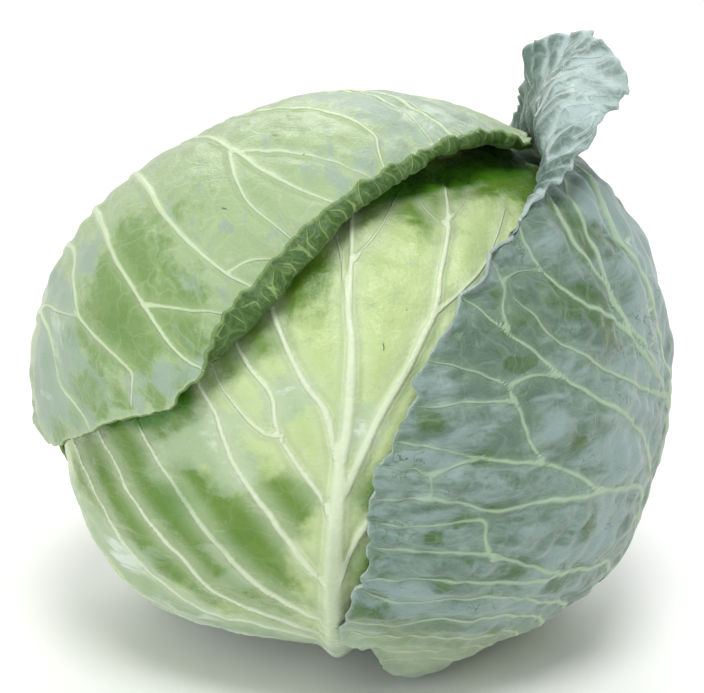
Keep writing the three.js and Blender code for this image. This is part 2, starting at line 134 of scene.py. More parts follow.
def around(pairs, degrees):
    """Smooth closed curve through (degrees, value) pairs."""
    if len(pairs) == 1:
        return np.full(np.shape(degrees), float(pairs[0][1]))
    a, r = np.array(sorted(pairs), float).T
    a = np.concatenate([a[-2:] - 360, a, a[:2] + 360])
    r = np.concatenate([r[-2:], r, r[:2]])
    slope = np.zeros_like(r)
    slope[1:-1] = (r[2:] - r[:-2]) / (a[2:] - a[:-2])
    t = (np.asarray(degrees) + 180) % 360 - 180
    i = np.clip(np.searchsorted(a, t, side="right") - 1, 1, len(a) - 3)
    h = a[i + 1] - a[i]
    return hermite((t - a[i]) / h, r[i], h * slope[i], r[i + 1], h * slope[i + 1])


def waves(points, wavelength, seed, count=18):
    """Smooth random height about zero with a spread near 1, over flat or solid points, from plane waves."""
    rng = np.random.default_rng(seed)
    axes = unit(rng.normal(size=(count, points.shape[-1])))
    k = 2 * np.pi / (wavelength * rng.uniform(0.75, 1.5, count))
    phase = rng.uniform(0, 2 * np.pi, count)
    return np.sqrt(2 / count) * np.sum(np.cos((points @ axes.T) * k + phase), -1)


class Leaf:
    """A wrapper leaf. Its flat shape is polar: degrees from the tip (180 is the base, positive to the right
    seen from outside) and millimetres. It is laid on the ball about a middle at azimuth and elevation, at a
    lift of its own, and beyond the hem line it leaves the ball and bends outward.

    outline, hem, fold and bend are (degrees, value) pairs: the margin, how far the hem line runs inside it,
    the angle that the hem turns through and the radius it turns by. flutter and ripples wave the margin: how
    high, and how many times round. pucker is how far the blade swells between veins, crimp how deeply
    the hem is pleated, and fray how ragged the margin is."""

    def __init__(self, azimuth, elevation, outline, hem, fold, bend, flutter, ripples, lift, veins, tones,
                 pucker, crimp, fray, seed):
        self.normal = toward(azimuth, elevation)
        self.up = unit(np.array([0, 0, 1.0]) - self.normal * self.normal[2])
        self.right = np.cross(self.up, self.normal)
        self.outline, self.hem, self.fold, self.bend = outline, hem, fold, bend
        self.flutter, self.ripples, self.lift = flutter, ripples, lift
        self.veins, self.tones = veins, tones
        self.pucker, self.crimp, self.fray, self.seed = pucker, crimp, fray, seed

    def hem_line(self, degrees):
        return around(self.outline, degrees) - around(self.hem, degrees)

    def direction(self, x, y):
        """Where on the head a flat point comes to lie."""
        rho = np.hypot(x, y) + 1e-9
        s = np.sin(rho / MM_PER_RADIAN) / rho
        return (np.cos(rho / MM_PER_RADIAN)[..., None] * self.normal
                + (s * x)[..., None] * self.right + (s * y)[..., None] * self.up)

    def wrap(self, x, y):
        """Points of the leaf as laid on the ball, and the ball's normals there."""
        d = self.direction(x, y)
        n = ball_normal(d)
        degrees = np.degrees(np.arctan2(x, y))
        # the flutter grows over about the last quarter of the way to the hem line, and spares the base
        near_edge = smooth(0.72, 1, np.hypot(x, y) / self.hem_line(degrees))
        off_base = smooth(128, 104, np.abs(degrees))
        flutter = self.flutter * np.sin(np.radians(degrees * self.ripples) + 1) * near_edge * off_base
        return CENTRE + d * ball_radius(d)[..., None] + n * (self.lift(d, x) + flutter)[..., None], n

    def place(self, x, y, height):
        """Points of the leaf at flat coordinates x, y and a height over the inner face."""
        rho = np.hypot(x, y) + 1e-9
        angle = np.arctan2(x, y)
        degrees = np.degrees(angle)
        fold = np.radians(around(self.fold, degrees))
        bend = around(self.bend, degrees)
        edge = self.hem_line(degrees)
        r = np.minimum(rho, edge)
        past = np.maximum(rho - edge, 0)
        p, n = self.wrap(*polar(r, angle))
        # a face of its own at each point, from points half a millimetre inward and a hair round
        inward = self.wrap(*polar(r - 0.5, angle))[0]
        beside = self.wrap(*polar(r, angle + 0.004))[0]
        out, side = unit(p - inward), unit(beside - p)
        face = facing(unit(np.cross(side, out)), n)
        away = facing(unit(np.cross(face, side)), out)
        # past the hem line: first round the bend, then straight on
        curved = np.minimum(past, fold * bend)
        turn = curved / bend
        straight = past - curved
        along = bend * np.sin(turn) + straight * np.cos(turn)
        rise = bend * (1 - np.cos(turn)) + straight * np.sin(turn)
        skin = face * np.cos(turn)[..., None] - away * np.sin(turn)[..., None]
        return p + away * along[..., None] + face * rise[..., None] + skin * np.asarray(height)[..., None]


# -------- the leaves
# A vein is its half width at start and end, its height at start and end, and the points it runs through.

FRONT_VEINS = [
    (5.4, 4.4, 3.4, 4.4, [(-6, -116), (-6, -88), (-6, -58)]),
    (4.4, 2.6, 4.4, 2.2, [(-6, -58), (-6, -29), (-4, 2)]),
    (2.4, 1.3, 2, 1, [(-4, 2), (-2, 14), (-1, 33), (-2, 46), (-1, 60)]),
    (1.3, 0.7, 0.8, 0.2, [(-1, 60), (-1, 76), (2, 96), (3, 112)]),
    (0.8, 0.5, 0.3, 0.1, [(-1, 58), (8, 70), (16, 86)]),
    (0.7, 0.5, 0.3, 0.1, [(-2, 48), (-5, 63), (-11, 84)]),
    (1.7, 0.9, 1.2, 0.5, [(-5, 4), (-8, 16), (-14, 24), (-20, 35), (-25, 46), (-33, 68)]),
    (2, 0.9, 1.4, 0.6, [(-3, -6), (6, 14), (14, 27), (19, 36), (23, 43), (26, 55), (30, 67), (33, 80),
        (36, 98)]),
    (0.8, 0.5, 0.3, 0.1, [(31, 70), (24, 80), (20, 98)]),
    (1, 0.6, 0.5, 0.2, [(22, 42), (31, 48), (42, 58), (56, 78)]),
    (0.7, 0.5, 0.3, 0.1, [(33, 74), (42, 84), (50, 98)]),
    (2.2, 0.9, 1.4, 0.5, [(-6, -76), (-13, -66), (-28, -60), (-48, -58), (-58, -50), (-67, -45),
        (-76, -36), (-88, -24), (-102, -10), (-112, 8)]),
    (2.2, 0.9, 1.4, 0.5, [(-7, -64), (-22, -53), (-34, -49), (-43, -44), (-50, -36), (-59, -29),
        (-67, -21), (-73, -13), (-82, -3), (-92, 12)]),
    (2.2, 0.9, 1.4, 0.5, [(-7, -52), (-13, -49), (-24, -41), (-34, -32), (-43, -21), (-53, -10), (-63, 2),
        (-68, 10), (-78, 26)]),
    (2, 0.8, 1.3, 0.5, [(-6, -36), (-12, -31), (-18, -22), (-24, -13), (-33, -1), (-39, 13), (-45, 22),
        (-56, 42)]),
    (1.6, 0.7, 1, 0.4, [(-5, -16), (-9, -8), (-17, 3), (-21, 11), (-23, 20), (-30, 28), (-40, 44),
        (-46, 62)]),
    (1, 0.6, 0.6, 0.3, [(-20, 9), (-26, 10), (-36, 19), (-44, 32)]),
    (1.8, 0.8, 1.2, 0.4, [(-5, -90), (-30, -78), (-60, -73), (-88, -58), (-112, -36)]),
    (1.6, 0.8, 1, 0.4, [(-5, -34), (-1, -23), (5, -14), (22, -2), (44, 14), (62, 34)]),
    (2, 0.9, 1.4, 0.5, [(-4, -60), (16, -50), (44, -38), (74, -18), (96, 6)]),
    (1.8, 0.8, 1.2, 0.4, [(-3, -82), (22, -70), (50, -58), (78, -42), (98, -20)]),
]

CAP_VEINS = [
    (5, 4.2, 2.4, 3.2, [(-2, -155), (-6, -105), (-8, -60)]),
    (4.2, 2.8, 3.2, 2, [(-8, -60), (-9, -20), (-8, 10)]),
    (2.6, 1.2, 1.8, 0.9, [(-8, 10), (-8, 50), (-9, 86), (-4, 104), (6, 124), (16, 140)]),
    (1.6, 0.8, 1, 0.4, [(-8, 70), (-4, 90), (6, 108), (15, 120), (28, 134)]),
    (1.2, 0.7, 0.8, 0.3, [(-8, 96), (-4, 112), (-1, 126), (-6, 140)]),
    (2, 0.9, 1.3, 0.5, [(-8, 24), (8, 46), (20, 60), (24, 70), (25, 84), (28, 95), (33, 106), (37, 113),
        (46, 117), (60, 124)]),
    (2.1, 1, 1.3, 0.5, [(-8, 0), (10, 22), (28, 45), (52, 70), (67, 85), (75, 102), (80, 116)]),
    (1.3, 0.7, 0.8, 0.4, [(52, 70), (68, 74), (80, 79), (91, 89), (104, 100)]),
    (1.2, 0.7, 0.8, 0.3, [(55, 74), (56, 90), (58, 108), (62, 124)]),
    (2.2, 1, 1.4, 0.5, [(-8, -22), (16, 6), (40, 28), (61, 42), (76, 49), (91, 57), (102, 65), (108, 72),
        (118, 84)]),
    (1.1, 0.7, 0.7, 0.3, [(102, 65), (99, 74), (99, 84), (103, 94)]),
    (2.2, 1, 1.4, 0.5, [(-9, -46), (14, -14), (40, 10), (68, 26), (83, 30), (101, 34), (112, 35),
        (122, 37), (131, 43)]),
    (1.1, 0.7, 0.7, 0.3, [(102, 34), (110, 48), (114, 58), (121, 66)]),
    (2, 0.9, 1.3, 0.5, [(-8, -68), (14, -38), (40, -10), (64, 11), (80, 12), (90, 10), (103, 14),
        (110, 16), (116, 16), (120, 8)]),
    (2, 0.9, 1.3, 0.5, [(-7, -88), (16, -60), (42, -34), (62, -14), (77, -6), (86, -7), (94, -12),
        (102, -12), (112, -15)]),
    (1.1, 0.7, 0.7, 0.3, [(62, -14), (72, -4), (81, 2), (88, 8)]),
    (1.6, 0.8, 1, 0.4, [(-6, -108), (16, -84), (40, -62), (60, -46), (74, -36)]),
    (2, 0.9, 1.3, 0.5, [(-9, 6), (-28, 36), (-46, 60), (-58, 88), (-62, 112)]),
    (1.2, 0.7, 0.7, 0.3, [(-47, 62), (-34, 82), (-28, 106), (-32, 120)]),
    (2.1, 0.9, 1.3, 0.5, [(-9, -24), (-34, 8), (-60, 34), (-84, 62), (-98, 84)]),
    (1.2, 0.7, 0.7, 0.3, [(-62, 36), (-68, 60), (-80, 92)]),
    (2.1, 0.9, 1.3, 0.5, [(-9, -52), (-36, -22), (-66, 2), (-94, 26), (-114, 44)]),
    (1.2, 0.7, 0.7, 0.3, [(-66, 2), (-92, 2), (-116, 14)]),
    (2, 0.9, 1.3, 0.5, [(-8, -82), (-36, -54), (-70, -34), (-100, -12), (-120, 0)]),
    (1.8, 0.8, 1.2, 0.4, [(-6, -112), (-34, -88), (-66, -72), (-96, -52), (-114, -40)]),
]

RIGHT_VEINS = [
    (5, 4, 1.8, 2.6, [(-2, -108), (-4, -66), (-6, -40)]),
    (4, 2.4, 2.6, 1.7, [(-6, -40), (-8, -14), (-11, 10), (-14, 24)]),
    (2.2, 1, 1.5, 0.8, [(-14, 24), (-18, 40), (-17, 57), (-6, 74), (4, 92), (10, 112)]),
    (1.8, 0.9, 1.1, 0.5, [(-8, -12), (-12, 4), (-28, 19), (-39, 34), (-53, 46), (-58, 60), (-56, 72),
        (-50, 86)]),
    (1.5, 0.8, 0.9, 0.4, [(-36, 31), (-40, 49), (-41, 62), (-32, 76), (-24, 92)]),
    (1.4, 0.8, 0.9, 0.4, [(-26, 20), (-37, 38), (-36, 54), (-28, 68), (-12, 80), (-6, 98)]),
    (2, 0.9, 1.2, 0.5, [(-7, -34), (-20, -14), (-40, 7), (-56, 18), (-68, 28), (-75, 38), (-80, 45),
        (-84, 54), (-86, 61)]),
    (2, 0.8, 1.2, 0.5, [(-6, -50), (-27, -17), (-54, -9), (-64, -3), (-76, 3), (-96, 8), (-106, 12),
        (-119, 15)]),
    (1.4, 0.9, 0.8, 0.5, [(-76, 3), (-81, 12), (-83, 21), (-85, 29)]),
    (1, 0.6, 0.6, 0.3, [(-85, 29), (-92, 34), (-98, 38), (-108, 43)]),
    (1, 0.8, 0.6, 0.5, [(-85, 29), (-76, 30), (-68, 28)]),
    (1, 0.6, 0.6, 0.3, [(-84, 24), (-98, 26), (-107, 26), (-115, 29)]),
    (1.5, 0.8, 0.9, 0.4, [(-12, 6), (-31, 14), (-49, 24), (-59, 32), (-67, 39), (-70, 47), (-73, 53)]),
    (1, 0.6, 0.6, 0.3, [(-79, 45), (-78, 50), (-73, 59), (-72, 70)]),
    (0.8, 0.5, 0.5, 0.3, [(-72, 59), (-66, 60), (-59, 58)]),
    (1.5, 0.8, 1, 0.4, [(-52, -10), (-75, -9), (-90, -11), (-98, -8), (-108, -6), (-123, -8)]),
    (1, 0.6, 0.6, 0.3, [(-94, 8), (-108, 3), (-113, 5), (-122, 5)]),
    (0.8, 0.6, 0.5, 0.3, [(-108, 3), (-108, -5)]),
    (1.2, 0.7, 0.7, 0.4, [(-85, -28), (-89, -22), (-92, -14), (-103, -16), (-119, -18)]),
    (1.9, 0.8, 1.2, 0.5, [(-5, -64), (-18, -47), (-32, -37), (-55, -35), (-72, -31), (-87, -26),
        (-103, -26), (-121, -28)]),
    (1.4, 0.8, 0.9, 0.4, [(-55, -35), (-66, -36), (-80, -37), (-96, -36), (-118, -41)]),
    (1.7, 0.8, 1, 0.4, [(-4, -80), (-24, -59), (-40, -51), (-57, -46), (-77, -42), (-89, -44),
        (-103, -48), (-116, -48)]),
    (1.6, 0.8, 1, 0.4, [(-3, -94), (-20, -73), (-36, -61), (-52, -54), (-79, -53), (-96, -58),
        (-110, -62)]),
    (1.4, 0.7, 0.8, 0.3, [(-2, -102), (-20, -86), (-46, -71), (-72, -70), (-92, -78)]),
    (1.2, 0.7, 0.6, 0.3, [(-20, -79), (-50, -62), (-70, -61), (-88, -64), (-104, -70)]),
    (1.2, 0.7, 0.6, 0.3, [(-24, -92), (-46, -79), (-70, -78), (-86, -86)]),
    (1.9, 0.8, 1.2, 0.4, [(-10, -10), (8, 14), (24, 32), (40, 56), (50, 82)]),
    (1.1, 0.6, 0.6, 0.3, [(16, 22), (18, 46), (14, 74), (16, 96)]),
    (1.9, 0.8, 1.2, 0.4, [(-6, -42), (20, -16), (48, 10), (72, 42), (88, 66)]),
    (1.1, 0.6, 0.6, 0.3, [(48, 10), (74, 18), (104, 30)]),
    (1.8, 0.8, 1.2, 0.4, [(-5, -68), (24, -46), (58, -22), (90, 6), (118, 22)]),
    (1.1, 0.6, 0.6, 0.3, [(58, -22), (88, -24), (118, -12)]),
    (1.6, 0.7, 1, 0.4, [(-3, -90), (26, -74), (62, -58), (96, -38), (122, -18)]),
]

# fine ribs that fan across the flap of the right leaf, and finer ones between them
FLAP_RIB, FLAP_SIDE_RIB = (1.1, 0.6, 1.1, 0.7), (0.7, 0.5, 0.6, 0.4)
FLAP_VEINS = [FLAP_RIB + (path,) for path in (
    [(-31, 85), (-31, 94), (-31, 101)], [(-26, 86), (-25, 98), (-25, 109)],
    [(-21, 88), (-19, 102), (-20, 116)], [(-14, 88), (-14, 104), (-13, 121)],
    [(-9, 94), (-6, 109), (-7, 124)], [(0, 94), (-1, 110), (0, 122)], [(9, 96), (7, 110), (4, 120)],
    [(16, 98), (14, 110), (10, 119)], [(22, 96), (21, 108), (20, 116)], [(28, 92), (32, 104), (34, 110)],
    [(34, 84), (40, 94), (44, 100)]
)] + [FLAP_SIDE_RIB + (path,) for path in (
    [(-17, 92), (-17, 106), (-16, 117)], [(-5, 98), (-4, 112), (-3, 122)],
    [(12, 98), (11, 108), (7, 118)], [(-29, 96), (-28, 103), (-22, 108), (-16, 110)],
    [(-20, 104), (-12, 108), (-3, 106), (7, 110)]
)]

# Patches of tone on the flat leaf: x, y, radius, how much greener (well past 1 it goes dark: painted shade),
# how much more bloom. Some patches paint shade or highlights, as marked below.
FRONT_TONES = [
    (-62, -20, 13, 1, 0), (-48, -18, 11, 0.9, 0), (-38, -27, 10, 0.9, 0), (-28, -34, 10, 1, 0),
    (-30, -20, 7, 0.8, 0), (-22, -14, 9, 0.7, 0), (-84, -14, 11, 1, 0), (-76, -30, 9, 0.9, 0),
    (-58, -38, 9, 0.8, 0), (-42, -44, 8, 0.8, 0), (-70, -8, 8, 0.8, 0), (3, -6, 6, 0.8, 0),
    (4, -28, 9, 0.9, 0), (-94, -24, 8, 0.6, 0), (-52, -14, 8, 0.6, 0), (-58, -8, 7, 0.5, 0),
    (-31, -8, 13, 0.35, 0), (-48, -2, 9, 0.3, 0), (-26, -48, 8, 0.7, 0.2), (-15, -8, 6, 0.6, 0),
    # painted shade: this line and the first two patches of the next darken the blade toward the cap leaf's
    # hem
    (70, 88, 14, 0.7, 0), (20, 84, 14, 0.4, 0), (45, 90, 12, 0.4, 0), (26, 70, 9, 0.3, 0),
    (-12, 52, 8, 0.5, 0), (-26, 36, 8, 0.6, 0), (-77, -45, 9, 0, 1.2), (-100, -44, 16, 0, 1.1),
    (-88, 2, 7, 0, 1.2), (-40, -30, 4, 0, 0.7), (-36, -38, 5, 0, 0.6), (-10, -44, 7, 0.3, 0.4),
    (-66, -44, 7, 0.2, 0.6), (-64, -62, 14, 0.3, 1), (-46, -68, 14, 0.3, 0.9), (-24, -68, 14, 0.3, 0.8),
    # painted highlights: the patches here that are less green and bloomier, from (-40, 6) to (-52, 2), pale
    # the blade to glare
    (0, -100, 20, 0, 1.3), (-40, 6, 8, -0.4, 1.25), (-33, -4, 6, -0.3, 1), (-18, 20, 7, -0.4, 1.25),
    (2, 12, 6, -0.4, 1.25), (-52, 2, 6, -0.3, 0.7), (-58, -6, 6, 0, 0.4),
    # painted shade: the dark under the hem of the cap leaf
    (72, 106, 12, 3.4, 0), (58, 103, 8, 3.2, 0), (46, 100, 8, 3.2, 0), (34, 96, 8, 3, 0),
    (24, 92, 8, 2.8, 0), (14, 87, 7, 2.4, 0), (5, 81, 6, 1.8, 0), (-3, 73, 6, 1.5, 0),
    (-11, 63, 6, 1.2, 0), (-18, 54, 6, 1.1, 0), (-25, 45, 6, 1.1, 0), (-33, 35, 6, 1.1, 0),
    (-40, 27, 6, 1.3, 0), (-16, 38, 12, 0.12, 0), (-49, 16, 6, 2.4, 0), (-58, 11, 6, 2.6, 0),
    (-66, 8, 6, 2.6, 0), (-76, 4, 5, 2.2, 0),
]
CAP_TONES = [
    (97, 29, 13, 1, -0.4), (111, 24, 10, 1, -0.4), (85, 44, 13, 0.6, 0), (100, 18, 9, 0.9, -0.3),
    (78, 32, 12, 0.5, 0), (104, 52, 10, 0.5, 0), (70, 62, 12, 0.3, 0), (119, 42, 7, 0.8, 0),
    (128, 42, 5, -0.2, 0.9), (92, 7, 9, 0.6, 0.3), (107, 3, 7, 0.7, 0.3), (93, -12, 13, 0, 0.8),
    (84, -2, 7, 0, 0.8), (74, 0, 9, 0, 0.9), (76, 18, 7, 0, 0.6), (84, -24, 9, 0, 0.7),
    (41, 90, 12, 0.5, 0), (36, 76, 12, 0.3, 0), (111, 43, 8, 0.6, 0), (123, 27, 6, -0.2, 1),
    # from (-14, 122) on this line to (60, 106) on the next: a paler, bloomier top, wax bloom and a painted
    # highlight from the light above
    (118, 14, 5, 0, 0.7), (-14, 122, 18, -0.4, 1.3), (14, 118, 14, -0.4, 1.1), (0, 96, 20, -0.2, 0.5),
    (44, 124, 12, -0.2, 0.4), (60, 106, 12, -0.2, 0.3), (103, -8, 6, 0.9, 0), (96, -26, 6, 0.7, 0),
    # along the lower margin
    (128, 31, 5, 0.9, 0), (125, 18, 5, 1.1, -0.3), (118, 6, 4, 1, -0.2), (113, -5, 4, 0.9, 0),
    (105, -16, 4, 1, 0), (99, -28, 4, 0.9, 0), (121, 10, 3, 0, 0.7), (109, -12, 3, 0, 0.7),
]
RIGHT_TONES = [
    (-57, 48, 7, 1.1, -0.9), (-47, 43, 6, 1, -0.9), (-38, 60, 5, 1.1, -0.8), (-48, 35, 5, 0.9, -0.7),
    (-83, 36, 2.2, 1.3, -0.9), (-80, 34, 2.2, 1.3, -0.9), (-76, 35, 2.2, 1.3, -0.9),
    (-55, -19, 5, 1, -0.7), (-108, 21, 4, 0.9, -0.7), (-27, 56, 5, 0.9, -0.6), (-34, 69, 6, 0.9, -0.6),
    (-20, 51, 4, 0.8, -0.6), (-82, -82, 6, 1, -0.6), (-110, -57, 3, 1.8, -0.9), (-69, -50, 7, 0, 0.5),
    (-65, -31, 6, 0, 0.6), (-94, 8, 4, 0.9, -0.5), (-66, 8, 4, 0.8, -0.5), (-76, -33, 4, 0.9, -0.6),
    (-58, -38, 4, 0.8, -0.6), (-104, -20, 3, 0.9, -0.5), (-88, -10, 4, 0.7, -0.5), (-96, -38, 4, 1, -0.6),
    (-98, -14, 3, 0.8, -0.4), (-34, 12, 11, -0.3, 0.8), (-20, 28, 13, -0.3, 0.9),
    (-16, 62, 10, -0.3, 0.8), (-8, 46, 14, -0.3, 0.8), (-48, -20, 8, -0.2, 0.9), (-44, -3, 9, -0.2, 0.8),
    (-70, 52, 10, 0.2, -0.5), (-80, 20, 10, 0.1, -0.4), (-89, 41, 9, 0.2, -0.7), (-77, 44, 8, 0.2, -0.5),
    (-104, 4, 5, 0, 0.5), (-100, -46, 8, -0.3, 0.8), (-60, -50, 6, 0, 0.7), (-90, 20, 5, 0, 0.4),
    (-74, 16, 5, 0, 0.5),
    # the flap: painted shade on the fold at the left, and bright bloom at the right that also paints its
    # light
    (-34, 90, 9, 0.5, -0.2), (27, 108, 9, -0.2, 0.6), (42, 92, 10, 0.8, -1), (16, 96, 7, 0.3, -0.5),
    (-9, 112, 14, -0.2, 0.3), (-22, 106, 8, -0.2, 0.8), (4, 116, 8, 0, 0.2), (-9, 96, 6, 0.5, -1),
    # the green foot
    (-92, -64, 8, 0.9, -0.5), (-76, -68, 8, 0.9, -0.4), (-60, -64, 8, 0.7, -0.3),
    (-104, -54, 6, 0.8, -0.4),
]


def hem_veins():
    """Short veins that run across the turned-out hem of the cap leaf, each with a lean of its own."""
    made = []
    for i, degrees in enumerate(range(-10, 70, 3)):
        lean = 2.0 * np.sin(1.7 * i)
        first, last = np.radians(degrees - lean / 2), np.radians(degrees + lean / 2)
        inner, outer = 131 + 0.2 * degrees, 145.5
        path = [polar(inner, first), polar((inner + outer) / 2, first), polar(outer, last)]
        made.append((0.9, 0.6, 0.6, 0.4, path))
    return made


# the swellings in a leaf's lift are azimuth, elevation, height and width in degrees, as on the ball
FRONT_LEAF = Leaf(
    azimuth=0, elevation=0,
    outline=[(-177, 117), (-168, 123), (-155, 128), (-135, 135), (-112, 146), (-90, 150), (-65, 140),
        (-40, 132), (-15, 131), (10, 137), (25, 142), (40, 140), (60, 132), (85, 122), (102, 120),
        (118, 116), (130, 108), (142, 99), (153, 95), (164, 98), (172, 106)],
    hem=[(0, 2)], fold=[(0, 0)], bend=[(0, 10)], flutter=0, ripples=5,
    lift=lambda d, x: 0.4 + swell(d, [(-60, -38, 1.1, 26)]),
    veins=FRONT_VEINS, tones=FRONT_TONES, pucker=0.9, crimp=0, fray=0.3, seed=3)

CAP_LEAF = Leaf(
    azimuth=-125, elevation=28,
    outline=[(-172, 157), (-158, 149), (-140, 132), (-120, 124), (-95, 120), (-70, 120), (-45, 122),
        (-30, 131), (-20, 142), (-14, 147), (-8, 147.5), (-3, 147), (4, 146.5), (13, 145), (26, 144.5),
        (36, 145), (47, 147), (57, 148.5), (66, 146), (72, 138), (77, 134), (82, 131), (90, 121),
        (99, 112), (106, 106), (112, 99), (118, 88), (126, 78), (136, 75), (145, 79), (153, 90),
        (160, 116), (168, 150), (180, 157)],
    hem=[(-120, 3), (-60, 3), (-20, 4), (-14, 6), (-8, 8), (-3, 8), (4, 8), (13, 8.5), (26, 9.5),
        (36, 10.5), (47, 12), (57, 13), (66, 12), (72, 7), (77, 6), (82, 5), (90, 5), (99, 5), (114, 3),
        (180, 3)],
    fold=[(-120, 0), (-60, 0), (-20, 30), (-14, 90), (-8, 150), (-1, 160), (13, 165), (36, 165),
        (57, 160), (66, 130), (72, 60), (77, 25), (82, 20), (90, 30), (99, 25), (114, 10), (180, 0)],
    bend=[(-60, 12), (-20, 5), (-8, 2.7), (-1, 2.5), (13, 2.4), (36, 2.4), (57, 2.4), (66, 2.6), (72, 3),
        (77, 5), (82, 8), (90, 12), (114, 12), (180, 12)],
    flutter=0.5, ripples=10,
    lift=lambda d, x: (4.2 - 3.6 * smooth(0.86, 0.96, -d[..., 2])
                       + swell(d, [(-88, 4, 4.6, 38), (-75, 40, 3, 24), (-60, 16, 1, 25), (2, 76, 5.2, 32),
                                   (52, 66, 4.2, 20)])),
    veins=CAP_VEINS + hem_veins(), tones=CAP_TONES, pucker=0.8, crimp=0.7, fray=0.3, seed=5)

RIGHT_LEAF = Leaf(
    azimuth=85, elevation=-5,
    outline=[(-168, 111), (-158, 110), (-147, 111), (-139, 117), (-135, 118.5), (-132, 119.5),
        (-129, 124.5), (-125, 129), (-120, 128), (-114, 126.5), (-108, 123.5), (-100, 123), (-90, 123),
        (-83, 119), (-75, 115), (-72, 116), (-68, 111.5), (-64, 110.5), (-60, 107.5), (-56, 105),
        (-48, 101.5), (-42, 97.5), (-36, 93), (-28, 94), (-20, 101), (-14, 111.5), (-8, 122.5),
        (-3, 125.5), (4, 122.5), (14, 119), (24, 116), (34, 106.5), (42, 104), (50, 104), (75, 116),
        (95, 128), (120, 134), (140, 128), (158, 120), (172, 112), (180, 109.5)],
    hem=[(-134, 3), (-100, 3), (-75, 3), (-60, 4), (-54, 5), (-48, 5), (-42, 4.5), (-36, 4), (-28, 10.5),
        (-20, 22), (-14, 34), (-8, 44.5), (-3, 46.5), (4, 42.5), (14, 39), (24, 34), (34, 20.5), (42, 12),
        (50, 5), (90, 3), (180, 3)],
    fold=[(-134, 8), (-100, 5), (-75, 5), (-60, 25), (-54, 40), (-48, 60), (-42, 115), (-36, 142),
        (-28, 146), (-20, 131), (-14, 141), (-8, 147), (-3, 141), (4, 109), (14, 78), (24, 60), (34, 60),
        (42, 60), (50, 20), (60, 8), (90, 5), (180, 0)],
    bend=[(-134, 12), (-75, 8), (-60, 6), (-54, 4), (-48, 3), (-42, 2), (-36, 2), (-28, 3.5), (-20, 7),
        (-14, 10.5), (-8, 13), (-3, 13), (4, 12.5), (14, 11.5), (24, 14.5), (34, 11.5), (42, 8), (50, 10),
        (90, 12), (180, 12)],
    flutter=0.6, ripples=9,
    lift=lambda d, x: (4.8 + 2.6 * smooth(30, 85, x) - 4.6 * smooth(0.81, 0.945, -d[..., 2])
                       + swell(d, [(80, 45, 4, 22), (80, -48, 2, 20), (78, -18, -1.5, 10),
                                   (18, -56, 4, 13), (52, 66, 5, 20)])),
    veins=RIGHT_VEINS + FLAP_VEINS, tones=RIGHT_TONES, pucker=1.8, crimp=1.7, fray=0.3, seed=8)


# -------- materials

RAMP, MATH, MIX = "MapRange", "Math", "Mix"
VECTOR, PARTS, ATTRIBUTE = "VectorMath", "SeparateXYZ", "Attribute"
NOISE, CELLS = "TexNoise", "TexVoronoi"
SOFT = {"interpolation_type": "SMOOTHSTEP"}
PLANT_IOR = 1.45
# the first colour is painted shade: the dark green that the blade is painted under the cap leaf's hem
UNDER_HEM_SHADE, SPECK_BROWN, FLESH_RIB = "#41780F", "#44553A", "#EEF2D8"

# the net of small veins on a leaf and the finer net within it: how wide their cells are, and how far
# they are pulled out of shape, in millimetres
NET_CELL, FINE_CELL, NET_PULL = 11.0, 3.6, 14.0
# so many to a millimetre of leaf
PULLS = 0.09  # the net is pulled one way over about 11 mm
PATCHES = 0.13  # patches of deeper green, about 8 mm across
STREAKS = (0.07, 0.15, 0)  # streaks in the bloom, about 14 mm by 7
CRACKS = 0.16  # hair cracks, about 6 mm apart
CRACKED_PATCHES = 0.06  # and the patches that they lie in, about 17 mm across
GRAINS = 0.7  # grain of the skin; the real one is too fine to show
# so many to a metre of flesh
FLESH_DRIFTS, FLESH_CELLS = 22.0, 110.0  # drifts of green 45 mm across, cells of the net 9 mm
SPECK_SHIFT = 11.0  # takes back the pull that a speck gets with the net
LEAF_BUMP, FLESH_BUMP = 0.5, 0.4  # height of the finest relief, in millimetres


def linear(hex_colour):
    """sRGB hex to linear RGBA."""
    parts = [int(hex_colour[i:i + 2], 16) / 255 for i in (1, 3, 5)]
    return [c / 12.92 if c <= 0.04045 else ((c + 0.055) / 1.055) ** 2.4 for c in parts] + [1.0]


def node(tree, kind, inputs, out=0, **settings):
    """Adds a node with its settings, input values and links, and gives back one output."""
    made = tree.nodes.new("ShaderNode" + kind)
    for name, value in settings.items():
        setattr(made, name, value)
    for socket, value in inputs.items():
        if isinstance(value, bpy.types.NodeSocket):
            tree.links.new(value, made.inputs[socket])
        else:
            made.inputs[socket].default_value = value
    return made if out is None else made.outputs[out]


def new_material(name):
    material = bpy.data.materials.new(name)
    material.use_nodes = True
    material.node_tree.nodes.clear()
    return material, material.node_tree


